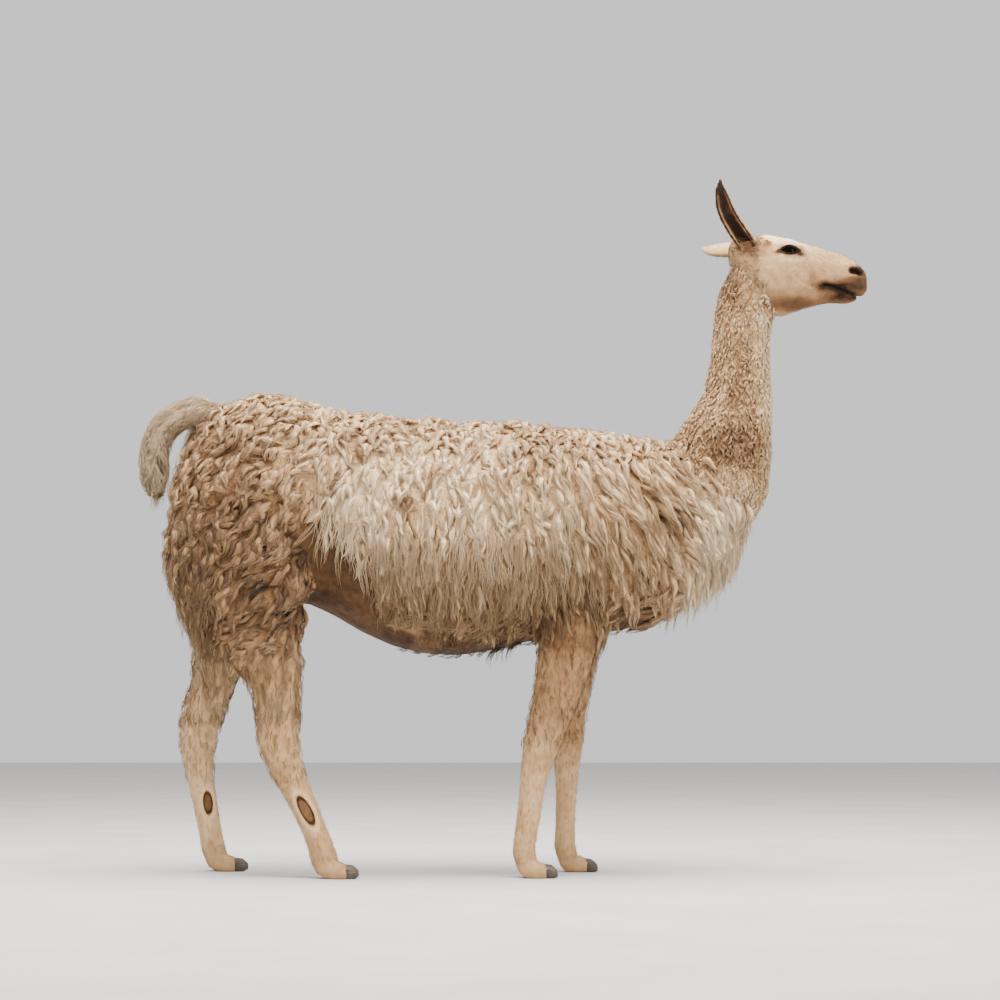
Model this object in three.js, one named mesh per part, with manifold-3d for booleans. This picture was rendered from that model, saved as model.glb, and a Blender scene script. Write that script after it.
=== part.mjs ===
// A standing llama at life size, as a museum model: still, one solid for each part of the body.
// Millimetres, +Z up. The llama faces +X, its right side is -Y, and its soles lie on Z = 0.
// Every surface is the outer surface of the coat, out to the ends of the wool.
import * as THREE from "three";
import { mergeVertices } from "three/addons/utils/BufferGeometryUtils.js";
import Module from "manifold-3d";

const wasm = await Module();
wasm.setup();

// ---- Driving sizes -------------------------------------------------------------------------

const GAP = 0.4; // the clearance that every two neighbours keep
const RIGHT = -1; // the sign of Y on the llama's right side
const LEFT = 1;

const COAT = { colour: 0xc4a27c, roughness: 0.95 }; // cream wool
const HAIR = { colour: 0xcdb08c, roughness: 0.85 }; // short hair of the face and legs
const HORN = { colour: 0x3a2c20, roughness: 0.5 }; // toenails
const WET = { colour: 0x140d09, roughness: 0.08 }; // eyes

const FORE_STANCE = 118; // half the distance between the feet of a pair
const HIND_STANCE = 138;
const FORE_TOES_AHEAD = 30; // how far the toes lie ahead of the fetlock
const HIND_TOES_AHEAD = 36;

const STEP = 0.005; // how far along a table its direction is read

// ---- Solids from rings -----------------------------------------------------------------------

// The row of numbers at place t of a table of stations, eased through them by a Catmull-Rom curve.
function rowAt(table, t) {
  const last = table.length - 1;
  const place = Math.min(Math.max(t, 0), 1) * last;
  const i = Math.min(Math.floor(place), last - 1);
  const f = place - i;
  return table[i].map((_, k) => {
    const before = table[Math.max(i - 1, 0)][k];
    const from = table[i][k];
    const to = table[i + 1][k];
    const after = table[Math.min(i + 2, last)][k];
    const bend = 2 * before - 5 * from + 4 * to - after;
    const twist = 3 * (from - to) + after - before;
    return 0.5 * (2 * from + (to - before) * f + bend * f * f + twist * f * f * f);
  });
}

// A closed geometry from rings of points, each end closed by a fan round its middle.
function skinOf(rings) {
  const count = rings[0].length;
  const points = rings.flat();
  const middle = (ring) => ring.reduce((sum, p) => sum.add(p), new THREE.Vector3()).divideScalar(count);
  const first = points.push(middle(rings[0])) - 1;
  const last = points.push(middle(rings[rings.length - 1])) - 1;
  const faces = [];
  for (let j = 0; j < count; j++) {
    const k = (j + 1) % count;
    faces.push(first, k, j);
    for (let i = 0; i + 1 < rings.length; i++) {
      const a = i * count;
      const b = a + count;
      faces.push(a + j, a + k, b + k, a + j, b + k, b + j);
    }
    const end = (rings.length - 1) * count;
    faces.push(last, end + j, end + k);
  }
  const geometry = new THREE.BufferGeometry().setFromPoints(points);
  return geometry.setIndex(faces);
}

// A closed geometry as a manifold-3d solid, turned right side out.
function solidOf(geometry) {
  const bare = geometry.clone().deleteAttribute("normal").deleteAttribute("uv");
  const merged = mergeVertices(bare, 1e-3);
  const make = (triVerts) =>
    new wasm.Manifold(
      new wasm.Mesh({ numProp: 3, vertProperties: merged.attributes.position.array, triVerts }),
    );
  const triVerts = new Uint32Array(merged.index.array);
  const solid = make(triVerts);
  return solid.volume() > 0 ? solid : make(triVerts.reverse());
}

function geometryOf(solid) {
  const mesh = solid.getMesh();
  const positions = new THREE.BufferAttribute(new Float32Array(mesh.vertProperties), 3);
  const geometry = new THREE.BufferGeometry().setAttribute("position", positions);
  geometry.setIndex(new THREE.BufferAttribute(new Uint32Array(mesh.triVerts), 1));
  geometry.computeVertexNormals();
  return geometry;
}

// A half section: angle 0 is up or forward, a quarter turn is sideways. round is 2 for an
// ellipse and more for a boxier shape; sag is how much wider the lower half is than the upper.
function sectionPoint(angle, deep, wide, round = 2, sag = 0) {
  const c = Math.cos(angle);
  const s = Math.sin(angle);
  const ease = (v) => Math.sign(v) * Math.abs(v) ** (2 / round);
  return { along: deep * ease(c), side: wide * ease(s) * (1 - sag * c) };
}

// How far the wool masses in a list lift the surface at a point, sideways. Each mass is
// [x, z, half length, half height, lift], and fades out like a bell.
function liftAt(masses, x, z) {
  return masses.reduce((sum, [mx, mz, long, tall, lift]) => {
    const far = ((x - mx) / long) ** 2 + ((z - mz) / tall) ** 2;
    return sum + lift * Math.exp(-far);
  }, 0);
}

// A body of rings that stand across the X axis. Each station is
// [x, bottom z, top z, half width]; the ends taper as their own stations say.
function barrel(stations, ringCount, sides, { round = 2, sag = 0, grow = 0, masses = [] } = {}) {
  const rings = [];
  for (let i = 0; i <= ringCount; i++) {
    const [x, low, high, wide] = rowAt(stations, i / ringCount);
    const outward = grow * (i === 0 ? -1 : i === ringCount ? 1 : 0);
    rings.push(
      Array.from({ length: sides }, (_, j) => {
        const angle = (j / sides) * 2 * Math.PI;
        const p = sectionPoint(angle, (high - low) / 2 + grow, wide + grow, round, sag);
        const z = (low + high) / 2 + p.along;
        const lift = 1 + (liftAt(masses, x, z) / wide) * Math.abs(Math.sin(angle));
        return new THREE.Vector3(x + outward, p.side * lift, z);
      }),
    );
  }
  return skinOf(rings);
}

// A limb of rings across its own line. Each station is [x, y, z, half depth, half width];
// level rings lie flat, and the others stand square to the line. from and to cut out a length.
function limb(stations, ringCount, sides, { from = 0, to = 1, level = false, round = 2, grow = 0 } = {}) {
  const rings = [];
  const spot = (t) => new THREE.Vector3(...rowAt(stations, t).slice(0, 3));
  for (let i = 0; i <= ringCount; i++) {
    const t = from + ((to - from) * i) / ringCount;
    const [x, y, z, deep, wide] = rowAt(stations, t);
    const line = spot(Math.min(t + STEP, 1)).sub(spot(Math.max(t - STEP, 0)));
    if (level) line.set(0, 0, -1);
    const ahead = new THREE.Vector3(-line.z, 0, line.x).normalize();
    const outward = grow * (i === 0 ? -1 : i === ringCount ? 1 : 0);
    rings.push(
      Array.from({ length: sides }, (_, j) => {
        const p = sectionPoint((j / sides) * 2 * Math.PI, deep + grow, wide + grow, round);
        const at = new THREE.Vector3(x, y + p.side, z).addScaledVector(ahead, p.along);
        return at.addScaledVector(line.clone().normalize(), outward);
      }),
    );
  }
  return skinOf(rings);
}

// A flat plate in the XZ plane, as thick as the animal is wide.
function plate(corners, halfThickness) {
  const outline = new THREE.Shape(corners.map(([x, z]) => new THREE.Vector2(x, z)));
  const depth = 2 * halfThickness;
  const geometry = new THREE.ExtrudeGeometry(outline, { depth, bevelEnabled: false });
  return geometry.rotateX(Math.PI / 2).translate(0, halfThickness, 0);
}

function ellipsoid(centre, radii, turn = 0, across = 14, down = 10) {
  const geometry = new THREE.SphereGeometry(1, across, down);
  return geometry.scale(...radii).rotateY(turn).translate(...centre);
}

// ---- The named parts ---------------------------------------------------------------------------

const llama = new THREE.Group();

function add(name, solid, { colour, roughness }) {
  const material = new THREE.MeshStandardMaterial({ color: colour, roughness, metalness: 0 });
  const mesh = new THREE.Mesh(geometryOf(solid), material);
  mesh.name = name;
  llama.add(mesh);
}

// The trunk, from the buttocks to the point of the chest: x, bottom z, top z, half width.
const TRUNK = {
  buttocks: [-846, 850, 970, 42],
  tailHead: [-828, 770, 1040, 116],
  pinBones: [-790, 686, 1112, 168],
  rump: [-730, 654, 1180, 197],
  croup: [-650, 650, 1223, 213],
  hips: [-575, 662, 1230, 220],
  loin: [-480, 676, 1204, 226],
  flank: [-375, 616, 1185, 236],
  lastRib: [-255, 563, 1170, 246],
  belly: [-128, 544, 1156, 250],
  ribs: [0, 562, 1158, 249],
  elbow: [128, 594, 1148, 240],
  withers: [256, 600, 1131, 225],
  shoulder: [390, 628, 1112, 198],
  neckRoot: [480, 668, 1086, 168],
  breast: [548, 730, 1042, 134],
  foreChest: [600, 795, 985, 92],
  chestPoint: [628, 850, 930, 40],
};
// Where the wool swells and where it sinks: x, z, half length, half height, lift.
const WOOL_MASSES = {
  shoulder: [330, 900, 130, 170, 16],
  skirt: [-60, 760, 300, 120, 14],
  hip: [-640, 1020, 170, 110, 12],
  behindElbow: [205, 700, 60, 120, -12],
  beforeThigh: [-400, 760, 70, 160, -26],
  underLoin: [-330, 1060, 220, 60, -12],
};
const TRUNK_FORM = { round: 2.15, sag: 0.05, masses: Object.values(WOOL_MASSES) };
const trunkWith = (grow) => solidOf(barrel(Object.values(TRUNK), 26, 22, { ...TRUNK_FORM, grow }));
const trunkClearance = trunkWith(GAP);
add("trunk", trunkWith(0), COAT);

// The head, from the poll to the upper lip: x, bottom z, top z, half width.
const HEAD = {
  nape: [592, 1568, 1597, 20],
  poll: [603, 1532, 1613, 44],
  earRoots: [622, 1500, 1619, 57],
  crown: [650, 1458, 1624, 66],
  jawCorner: [684, 1428, 1634, 71],
  brow: [714, 1414, 1629, 75],
  eyes: [746, 1427, 1620, 71],
  cheek: [776, 1436, 1611, 60],
  noseRoot: [806, 1444, 1603, 50],
  bridge: [837, 1451, 1594, 43],
  mouthCorner: [864, 1454, 1588, 39],
  nose: [888, 1451, 1580, 37],
  nostrils: [908, 1455, 1567, 35],
  noseTip: [925, 1466, 1552, 31],
  lipBow: [938, 1478, 1540, 23],
  lipTip: [945, 1490, 1522, 11],
};
const HEAD_FORM = { round: 2.1, sag: -0.14 };
const headWith = (grow) => solidOf(barrel(Object.values(HEAD), 19, 16, { ...HEAD_FORM, grow }));
const headClearance = headWith(GAP);

// Each eye is a ball between two lids: the upper one, under the brow, is the heavier.
const EYE = { x: 737, y: 51, z: 1578, radius: 25 };
const UPPER_LID = { forward: 2, out: 5, up: 14, radii: [40, 17, 13] };
const LOWER_LID = { forward: -2, out: 8, up: -17, radii: [32, 10, 9] };
const LID_SLANT = 0.14;
const eyeball = (side, grow = 0) => {
  const r = EYE.radius + grow;
  return solidOf(ellipsoid([EYE.x, side * EYE.y, EYE.z], [r, r, r], 0, 12, 8));
};
const lid = (side, { forward, out, up, radii }) => {
  const centre = [EYE.x + forward, side * (EYE.y + out), EYE.z + up];
  return solidOf(ellipsoid(centre, radii, LID_SLANT, 10, 6));
};

const NOSTRIL = { x: 912, y: 33, z: 1531, radii: [17, 9, 7], slant: 0.15 };
const nostril = (side) => {
  const centre = [NOSTRIL.x, side * NOSTRIL.y, NOSTRIL.z];
  return solidOf(ellipsoid(centre, NOSTRIL.radii, NOSTRIL.slant, 8, 6));
};

// The line where the lips meet, from behind the jaw to the front: x, z, and how far the lips gape.
const LIP_LINE = {
  behindJaw: [560, 1479, 1],
  jaw: [640, 1476, GAP],
  cheek: [760, 1482, GAP],
  mouthCorner: [829, 1497, GAP],
  behindLips: [860, 1492, 5],
  lips: [890, 1481, 7],
  chin: [930, 1467, 9],
  beyondLips: [960, 1464, 8],
};
const upperLine = Object.values(LIP_LINE).map(([x, z]) => [x, z]);
const lowerLine = Object.values(LIP_LINE).map(([x, z, gape]) => [x, z - gape]);
const mouthCut = solidOf(plate([...upperLine, ...lowerLine.reverse()], 120));

let wholeHead = headWith(0);
for (const side of [RIGHT, LEFT]) {
  wholeHead = wholeHead.add(lid(side, UPPER_LID));
  wholeHead = wholeHead.add(lid(side, LOWER_LID));
  wholeHead = wholeHead.subtract(eyeball(side, GAP));
  wholeHead = wholeHead.subtract(nostril(side));
}
const byVolume = (a, b) => b.volume() - a.volume();
const [upperHead, lowerJaw] = wholeHead.subtract(mouthCut).decompose().sort(byVolume);
add("head", upperHead, HAIR);
add("lower_jaw", lowerJaw, HAIR);
add("eye_right", eyeball(RIGHT), WET);
add("eye_left", eyeball(LEFT), WET);

// An ear is a rolled leaf: a wall that wraps round a curved line, more at the root than at the tip.
const EAR_WALL = 6;
const EAR_ROLL = { root: 2.35, tip: 1.75 }; // how far the wall reaches each way round, in radians
const EAR_FLATTEN = 0.62; // the depth of the roll over its width
const EAR_THINS_BELOW = 12; // the half width under which the wall thins towards the tip

// stations: x, y, z, half width. opening: the way the hollow faces.
function ear(stations, opening, ringCount = 10, arcSteps = 5) {
  const rings = [];
  const spot = (t) => new THREE.Vector3(...rowAt(stations, t).slice(0, 3));
  for (let i = 0; i <= ringCount; i++) {
    const t = i / ringCount;
    const half = rowAt(stations, t)[3];
    const line = spot(Math.min(t + STEP, 1)).sub(spot(Math.max(t - STEP, 0))).normalize();
    const across = new THREE.Vector3().crossVectors(line, opening).normalize();
    const front = new THREE.Vector3().crossVectors(across, line);
    const roll = THREE.MathUtils.lerp(EAR_ROLL.root, EAR_ROLL.tip, t);
    const thick = EAR_WALL * Math.min(1, half / EAR_THINS_BELOW);
    const arc = (radius, turn, inset) =>
      Array.from({ length: arcSteps + 1 }, (_, j) => {
        const angle = turn * roll * ((2 * j) / arcSteps - 1);
        const back = -Math.cos(angle) * radius * EAR_FLATTEN - inset;
        const at = spot(t).addScaledVector(across, Math.sin(angle) * radius);
        return at.addScaledVector(front, back);
      });
    rings.push([...arc(half, 1, 0), ...arc(half - thick, -1, 0.3 * thick)]);
  }
  return solidOf(skinOf(rings)).subtract(headClearance);
}

// The right ear stands up and curves back, hollow outwards.
const EAR_RIGHT = {
  root: [642, -34, 1568, 23],
  base: [630, -50, 1596, 26],
  lower: [610, -62, 1624, 26],
  middle: [590, -70, 1652, 24],
  upper: [573, -75, 1686, 23],
  curve: [564, -76, 1720, 18],
  point: [561, -73, 1746, 10],
  tip: [564, -69, 1765, 2.5],
};
// The left ear is laid back, level with the poll, hollow downwards.
const EAR_LEFT = {
  root: [640, 28, 1592, 20],
  base: [624, 54, 1603, 24],
  lower: [605, 82, 1609, 27],
  middle: [584, 110, 1614, 26],
  upper: [563, 138, 1619, 21],
  point: [546, 160, 1625, 12],
  tip: [534, 176, 1632, 2.5],
};
const OUTWARDS = new THREE.Vector3(-0.35, -1, 0.1).normalize();
const DOWNWARDS = new THREE.Vector3(0.55, 0.35, -0.75).normalize();
add("ear_right", ear(Object.values(EAR_RIGHT), OUTWARDS), HAIR);
add("ear_left", ear(Object.values(EAR_LEFT), DOWNWARDS), HAIR);

// The neck, from between the shoulders to the back of the jaw: x, y, z, half depth, half width.
const NECK = {
  chest: [500, 0, 880, 118, 112],
  root: [540, 0, 985, 150, 122],
  flare: [568, 0, 1065, 136, 113],
  lower: [592, 0, 1140, 114, 98],
  middle: [607, 0, 1200, 97, 86],
  slender: [615, 0, 1270, 86, 77],
  upper: [618, 0, 1345, 80, 70],
  throat: [625, 0, 1420, 80, 66],
  jaw: [637, 0, 1490, 73, 62],
  poll: [648, 0, 1545, 50, 54],
};
const wholeNeck = solidOf(limb(Object.values(NECK), 15, 14));
add("neck", wholeNeck.subtract(trunkClearance).subtract(headClearance), COAT);

// The tail arches up, back and down: x, y, z, half depth, half width.
const TAIL = {
  root: [-700, 0, 1150, 34, 34],
  rise: [-745, 0, 1170, 36, 38],
  crest: [-790, 0, 1172, 34, 40],
  turn: [-835, 0, 1155, 30, 40],
  back: [-868, 0, 1120, 30, 40],
  drop: [-883, 0, 1074, 30, 40],
  tassel: [-884, 0, 1028, 31, 38],
  taper: [-880, 0, 985, 28, 30],
  wisp: [-880, 0, 948, 14, 16],
  tip: [-882, 0, 926, 3, 3],
};
add("tail", solidOf(limb(Object.values(TAIL), 16, 12)).subtract(trunkClearance), COAT);

// ---- Legs ------------------------------------------------------------------------------------------

const LEG_ROUND = 2.1; // a little boxier than an ellipse

// The heights where one length of a leg gives way to the next.
const WOOL_END = 545; // the bottom of the woolly thigh
const UNDER_HOCK = 255;
const OVER_KNEE = 345;
const UNDER_KNEE = 262;

const HIND_LENGTHS = [
  { name: "thigh", down: WOOL_END, rings: 9, sides: 14, material: COAT },
  { name: "shank", down: UNDER_HOCK, rings: 7, sides: 12, material: HAIR },
  { name: "hind_cannon", down: 0, rings: 5, sides: 12, material: HAIR },
];
const FORE_LENGTHS = [
  { name: "forearm", down: OVER_KNEE, rings: 7, sides: 12, material: HAIR },
  { name: "knee", down: UNDER_KNEE, rings: 4, sides: 12, material: HAIR },
  { name: "fore_cannon", down: 0, rings: 5, sides: 12, material: HAIR },
];

// The place along a falling table of stations where the leg passes a height.
function placeAtHeight(stations, z) {
  let above = 0;
  let below = 1;
  for (let halving = 0; halving < 24; halving++) {
    const between = (above + below) / 2;
    if (rowAt(stations, between)[2] > z) above = between;
    else below = between;
  }
  return above;
}

// A leg is one line from inside the trunk down to the fetlock, cut into lengths, with a foot.
// Each joint gives x, the stance's share of y, z, half depth, half width.
function addLeg(side, sideName, end, stance, joints, lengths, ahead) {
  const place = ([x, share, z, deep, wide]) => [x, side * stance * share, z, deep, wide];
  const stations = Object.values(joints).map(place);
  let from = 0;
  for (const { name, down, rings, sides, material } of lengths) {
    const to = placeAtHeight(stations, down);
    const cut = { from, to: placeAtHeight(stations, down + GAP), level: true, round: LEG_ROUND };
    const whole = solidOf(limb(stations, rings, sides, cut));
    add(`${name}_${sideName}`, from === 0 ? whole.subtract(trunkClearance) : whole, material);
    from = to;
  }
  addFoot(side, `${end}_${sideName}`, rowAt(stations, 1), ahead);
}

// The two toes of a foot, each with a soft pad that is flat underneath and a curved nail.
const PAD = { length: 46, width: 21, height: 25, up: 17, tilt: 0.1, splay: 0.12, apart: 20 };
const NAIL = { length: 25, width: 12, height: 17, ahead: 33, up: 15, tilt: 0.45, above: 1.5 };
const ground = solidOf(new THREE.BoxGeometry(3000, 1000, 100).translate(0, 0, -50));

// The foot starts at the fetlock, [x, y, z, half depth, half width], and its toes lie ahead of it.
function addFoot(side, name, [x, y, z, deep, wide], ahead) {
  const pastern = [
    [x, y, z - GAP, deep, wide],
    [x + 0.1 * ahead, y, 0.75 * z, deep, wide],
    [x + 0.3 * ahead, y, 0.42 * z, 0.95 * deep, 1.02 * wide],
    [x + 0.5 * ahead, y, 0.11 * z, 0.85 * deep, 0.95 * wide],
  ];
  let foot = solidOf(limb(pastern, 3, 8, { level: true, round: LEG_ROUND }));
  for (const toe of [RIGHT, LEFT]) {
    const placed = (geometry) =>
      solidOf(geometry.rotateZ(toe * PAD.splay).translate(x + ahead, y + toe * PAD.apart, 0));
    const nail = (grow) => {
      const radii = [NAIL.length + grow, NAIL.width + grow, NAIL.height + grow];
      return placed(ellipsoid([NAIL.ahead, 0, NAIL.up], radii, NAIL.tilt, 8, 5));
    };
    const pad = ellipsoid([0, 0, PAD.up], [PAD.length, PAD.width, PAD.height], PAD.tilt, 8, 6);
    foot = foot.add(placed(pad)).subtract(nail(GAP));
    const underNail = ground.translate([0, 0, NAIL.above]);
    add(`nail_${name}_${toe === side ? "outer" : "inner"}`, nail(0).subtract(underNail), HORN);
  }
  add(`foot_${name}`, foot.subtract(ground), HAIR);
}

// The right hind leg reaches forward under the body.
const HIND_RIGHT = {
  hip: [-645, 0.86, 960, 150, 60],
  haunch: [-652, 0.98, 890, 186, 82],
  thigh: [-652, 1.02, 810, 194, 88],
  stifle: [-646, 1.02, 730, 186, 86],
  breeches: [-634, 1.0, 655, 164, 78],
  gaskin: [-614, 0.98, 590, 132, 66],
  woolEnd: [-580, 0.97, 530, 90, 54],
  shank: [-556, 0.97, 465, 64, 45],
  tendon: [-549, 0.98, 395, 56, 39],
  hock: [-547, 1.0, 325, 56, 36],
  underHock: [-523, 1.0, 255, 46, 33],
  cannon: [-488, 1.01, 185, 40, 29],
  lowCannon: [-460, 1.02, 125, 36, 28],
  fetlock: [-438, 1.03, 72, 36, 31],
};
// The left hind leg stands back.
const HIND_LEFT = {
  hip: [-665, 0.86, 960, 150, 60],
  haunch: [-668, 0.98, 890, 180, 82],
  thigh: [-672, 1.02, 810, 176, 88],
  stifle: [-684, 1.02, 730, 156, 86],
  breeches: [-702, 1.0, 655, 122, 76],
  gaskin: [-716, 0.98, 590, 88, 62],
  woolEnd: [-730, 0.97, 530, 64, 50],
  shank: [-748, 0.97, 465, 58, 43],
  tendon: [-772, 0.98, 395, 57, 39],
  hock: [-782, 1.0, 325, 50, 36],
  underHock: [-776, 1.0, 255, 38, 32],
  cannon: [-763, 1.01, 185, 35, 28],
  lowCannon: [-752, 1.02, 125, 33, 27],
  fetlock: [-741, 1.03, 72, 33, 30],
};
// The right foreleg slants back to its foot.
const FORE_RIGHT = {
  elbow: [190, 0.9, 730, 92, 58],
  armpit: [180, 0.94, 650, 86, 57],
  forearm: [168, 0.97, 570, 78, 53],
  midForearm: [153, 0.98, 495, 69, 47],
  lowForearm: [133, 0.99, 420, 61, 42],
  overKnee: [110, 1.0, 350, 53, 39],
  knee: [97, 1.0, 300, 45, 36],
  underKnee: [84, 1.0, 245, 36, 31],
  cannon: [76, 1.0, 190, 33, 28],
  lowCannon: [68, 1.0, 130, 32, 27],
  fetlock: [58, 1.0, 70, 30, 29],
};
// The left foreleg stands straight, ahead of the right one.
const FORE_LEFT = {
  elbow: [205, 0.9, 730, 90, 58],
  armpit: [198, 0.94, 650, 82, 57],
  forearm: [190, 0.97, 570, 74, 53],
  midForearm: [181, 0.98, 495, 65, 47],
  lowForearm: [172, 0.99, 420, 57, 42],
  overKnee: [170, 1.0, 350, 49, 39],
  knee: [173, 1.0, 300, 40, 36],
  underKnee: [171, 1.0, 245, 32, 31],
  cannon: [170, 1.0, 190, 29, 28],
  lowCannon: [168, 1.0, 130, 28, 27],
  fetlock: [166, 1.0, 70, 29, 29],
};
addLeg(RIGHT, "right", "hind", HIND_STANCE, HIND_RIGHT, HIND_LENGTHS, HIND_TOES_AHEAD);
addLeg(LEFT, "left", "hind", HIND_STANCE, HIND_LEFT, HIND_LENGTHS, HIND_TOES_AHEAD);
addLeg(RIGHT, "right", "fore", FORE_STANCE, FORE_RIGHT, FORE_LENGTHS, FORE_TOES_AHEAD);
addLeg(LEFT, "left", "fore", FORE_STANCE, FORE_LEFT, FORE_LENGTHS, FORE_TOES_AHEAD);

// The origin is the middle of the model's box, on the floor.
const box = new THREE.Box3().setFromObject(llama);
const middle = box.getCenter(new THREE.Vector3());
llama.position.set(-middle.x, -middle.y, -box.min.z);

export default llama;
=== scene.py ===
# %% [markdown]
# # A life-size llama in full wool
# The real thing is an animal with three coats: long matted wool on the body, short curly wool on
# the neck, and close hair on the face and legs. A renderer could grow such a coat from hair
# particles, but particles are not solid and leave nothing to hold. So this lesson makes one skin
# for all the flesh, and lays locks of wool on it that are real, closed meshes.
# Lengths are in metres, +X is the way the llama faces, +Y its left, +Z up.

# %% Load the frame
import math
import time

import bpy
import numpy as np
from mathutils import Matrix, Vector
from mathutils.bvhtree import BVHTree


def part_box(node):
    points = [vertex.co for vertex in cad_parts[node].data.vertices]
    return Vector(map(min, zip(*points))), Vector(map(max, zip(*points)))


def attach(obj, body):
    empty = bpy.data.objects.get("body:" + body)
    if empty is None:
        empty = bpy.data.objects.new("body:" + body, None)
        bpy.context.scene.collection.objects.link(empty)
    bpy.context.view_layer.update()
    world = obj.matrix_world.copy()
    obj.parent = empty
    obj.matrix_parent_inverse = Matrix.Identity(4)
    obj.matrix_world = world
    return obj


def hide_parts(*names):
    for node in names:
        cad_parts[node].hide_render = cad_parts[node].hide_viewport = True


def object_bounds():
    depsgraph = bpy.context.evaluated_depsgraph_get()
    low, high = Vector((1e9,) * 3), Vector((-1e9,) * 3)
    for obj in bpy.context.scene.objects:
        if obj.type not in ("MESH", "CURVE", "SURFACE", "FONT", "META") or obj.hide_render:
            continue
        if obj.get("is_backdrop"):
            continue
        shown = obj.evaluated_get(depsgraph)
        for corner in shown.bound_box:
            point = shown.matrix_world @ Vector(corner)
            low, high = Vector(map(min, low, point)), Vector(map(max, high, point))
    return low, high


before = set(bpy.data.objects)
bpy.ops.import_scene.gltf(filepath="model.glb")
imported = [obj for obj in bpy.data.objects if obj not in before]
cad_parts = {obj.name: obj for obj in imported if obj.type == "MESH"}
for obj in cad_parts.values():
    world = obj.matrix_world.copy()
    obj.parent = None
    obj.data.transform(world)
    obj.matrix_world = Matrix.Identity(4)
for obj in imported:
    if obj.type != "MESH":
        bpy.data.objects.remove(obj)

CAD_BOX = [[float(c) for c in corner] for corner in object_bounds()]
MM = 0.001
STARTED = time.time()


def report(*words):
    print(f"[{time.time() - STARTED:5.1f} s]", *words)


report("box of the solids", CAD_BOX)

# %% [markdown]
# ## Small tools for arrays of points
# Everything here is made from arrays of vertices, because a coat has far too many to place one at
# a time. These helpers measure, blend and roughen such arrays. `soft_step` eases a number from 0
# to 1, and `bump_at` is a soft ball of influence, like a sculptor's brush.

# %% Array tools
def soft_step(low, high, values):
    t = np.clip((values - low) / (high - low), 0.0, 1.0)
    return t * t * (3 - 2 * t)


def bump_at(points, centre, radii):
    """1 at the centre of a soft ellipsoid, falling to 0 well outside its radii."""
    reach = (points - np.array(centre)) / np.array(radii)
    return np.exp(-np.sum(reach * reach, axis=1))


def unit(vectors):
    size = np.linalg.norm(vectors, axis=-1, keepdims=True)
    return vectors / np.maximum(size, 1e-9)


def lattice(cells, seed):
    """A number from 0 to 1 for each whole-number cell of space, always the same for one seed."""
    mixed = cells[..., 0] * 73856093 ^ cells[..., 1] * 19349663 ^ cells[..., 2] * 83492791
    mixed = (mixed + seed * 2654435761) & 0xFFFFFFFF
    mixed = ((mixed >> 13) ^ mixed) * 1274126177 & 0xFFFFFFFF
    return ((mixed >> 8) & 0xFFFF) / 65535.0


def cloud(points, size, seed=0, layers=2):
    """Soft noise between -1 and 1 whose lumps are about `size` metres across."""
    total = np.zeros(len(points))
    weight = 0.0
    for layer in range(layers):
        scaled = points / (size / 2**layer)
        base = np.floor(scaled).astype(np.int64)
        ease = scaled - base
        ease = ease * ease * (3 - 2 * ease)
        value = np.zeros(len(points))
        for corner in range(8):
            step = np.array([corner & 1, corner >> 1 & 1, corner >> 2 & 1])
            share = np.prod(np.where(step, ease, 1 - ease), axis=1)
            value += share * lattice(base + step, seed + 17 * layer)
        total += (2 * value - 1) / 2**layer
        weight += 1 / 2**layer
    return total / weight


def mats(points, size, seed):
    """Rounded cells about size metres across: how high each point stands, from 0 in the cracks
    to 1, and where the middle of its cell is."""
    scaled = points / size
    base = np.floor(scaled).astype(np.int64)
    first = np.full(len(points), 9.0)
    second = np.full(len(points), 9.0)
    middle = np.zeros((len(points), 3))
    for step in np.ndindex(3, 3, 3):
        cell = base + np.array(step) - 1
        spot = cell + np.stack([lattice(cell, seed + k) for k in range(3)], 1)
        away = np.linalg.norm(scaled - spot, axis=1)
        middle = np.where((away < first)[:, None], spot, middle)
        second = np.minimum(second, np.maximum(first, away))
        first = np.minimum(first, away)
    return soft_step(0.0, 0.55, second - first), middle * size


def ball(centre, radius, rings=40, spokes=64):
    """A closed ball's points and triangles, with its poles on the Y axis, and each point's look."""
    tilt = np.linspace(0, math.pi, rings + 1)[1:-1]
    spin = np.arange(spokes) / spokes * 2 * math.pi
    rows = np.stack([np.outer(np.sin(tilt), np.cos(spin)), np.outer(np.cos(tilt), np.ones(spokes)),
                     np.outer(np.sin(tilt), np.sin(spin))], 2).reshape(-1, 3)
    looks = np.concatenate([rows, [[0, 1.0, 0]], [[0, -1.0, 0]]])
    last, triangles = len(rows), []
    for ring in range(rings - 2):
        for k in range(spokes):
            a, b = ring * spokes + k, ring * spokes + (k + 1) % spokes
            triangles += [(a, a + spokes, b), (b, a + spokes, b + spokes)]
    for k in range(spokes):
        triangles.append((last, k, (k + 1) % spokes))
        base = (rings - 2) * spokes
        triangles.append((last + 1, base + (k + 1) % spokes, base + k))
    return looks * radius + centre, np.array(triangles)[:, ::-1], looks


# %% [markdown]
# ## Small tools for meshes
# A mesh is read as one array of points and one of triangles, changed as arrays, and written
# back. `blurred` averages a value, or the points themselves, with their neighbours along the
# edges, and `use_modifier` makes one of Blender's modifiers permanent.

# %% Mesh tools
def mesh_arrays(mesh):
    """A mesh's points and triangles as arrays."""
    points = np.empty(len(mesh.vertices) * 3, np.float32)
    mesh.vertices.foreach_get("co", points)
    mesh.calc_loop_triangles()
    corners = np.empty(len(mesh.loop_triangles) * 3, np.int32)
    mesh.loop_triangles.foreach_get("vertices", corners)
    return points.reshape(-1, 3).astype(float), corners.reshape(-1, 3)


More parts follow.
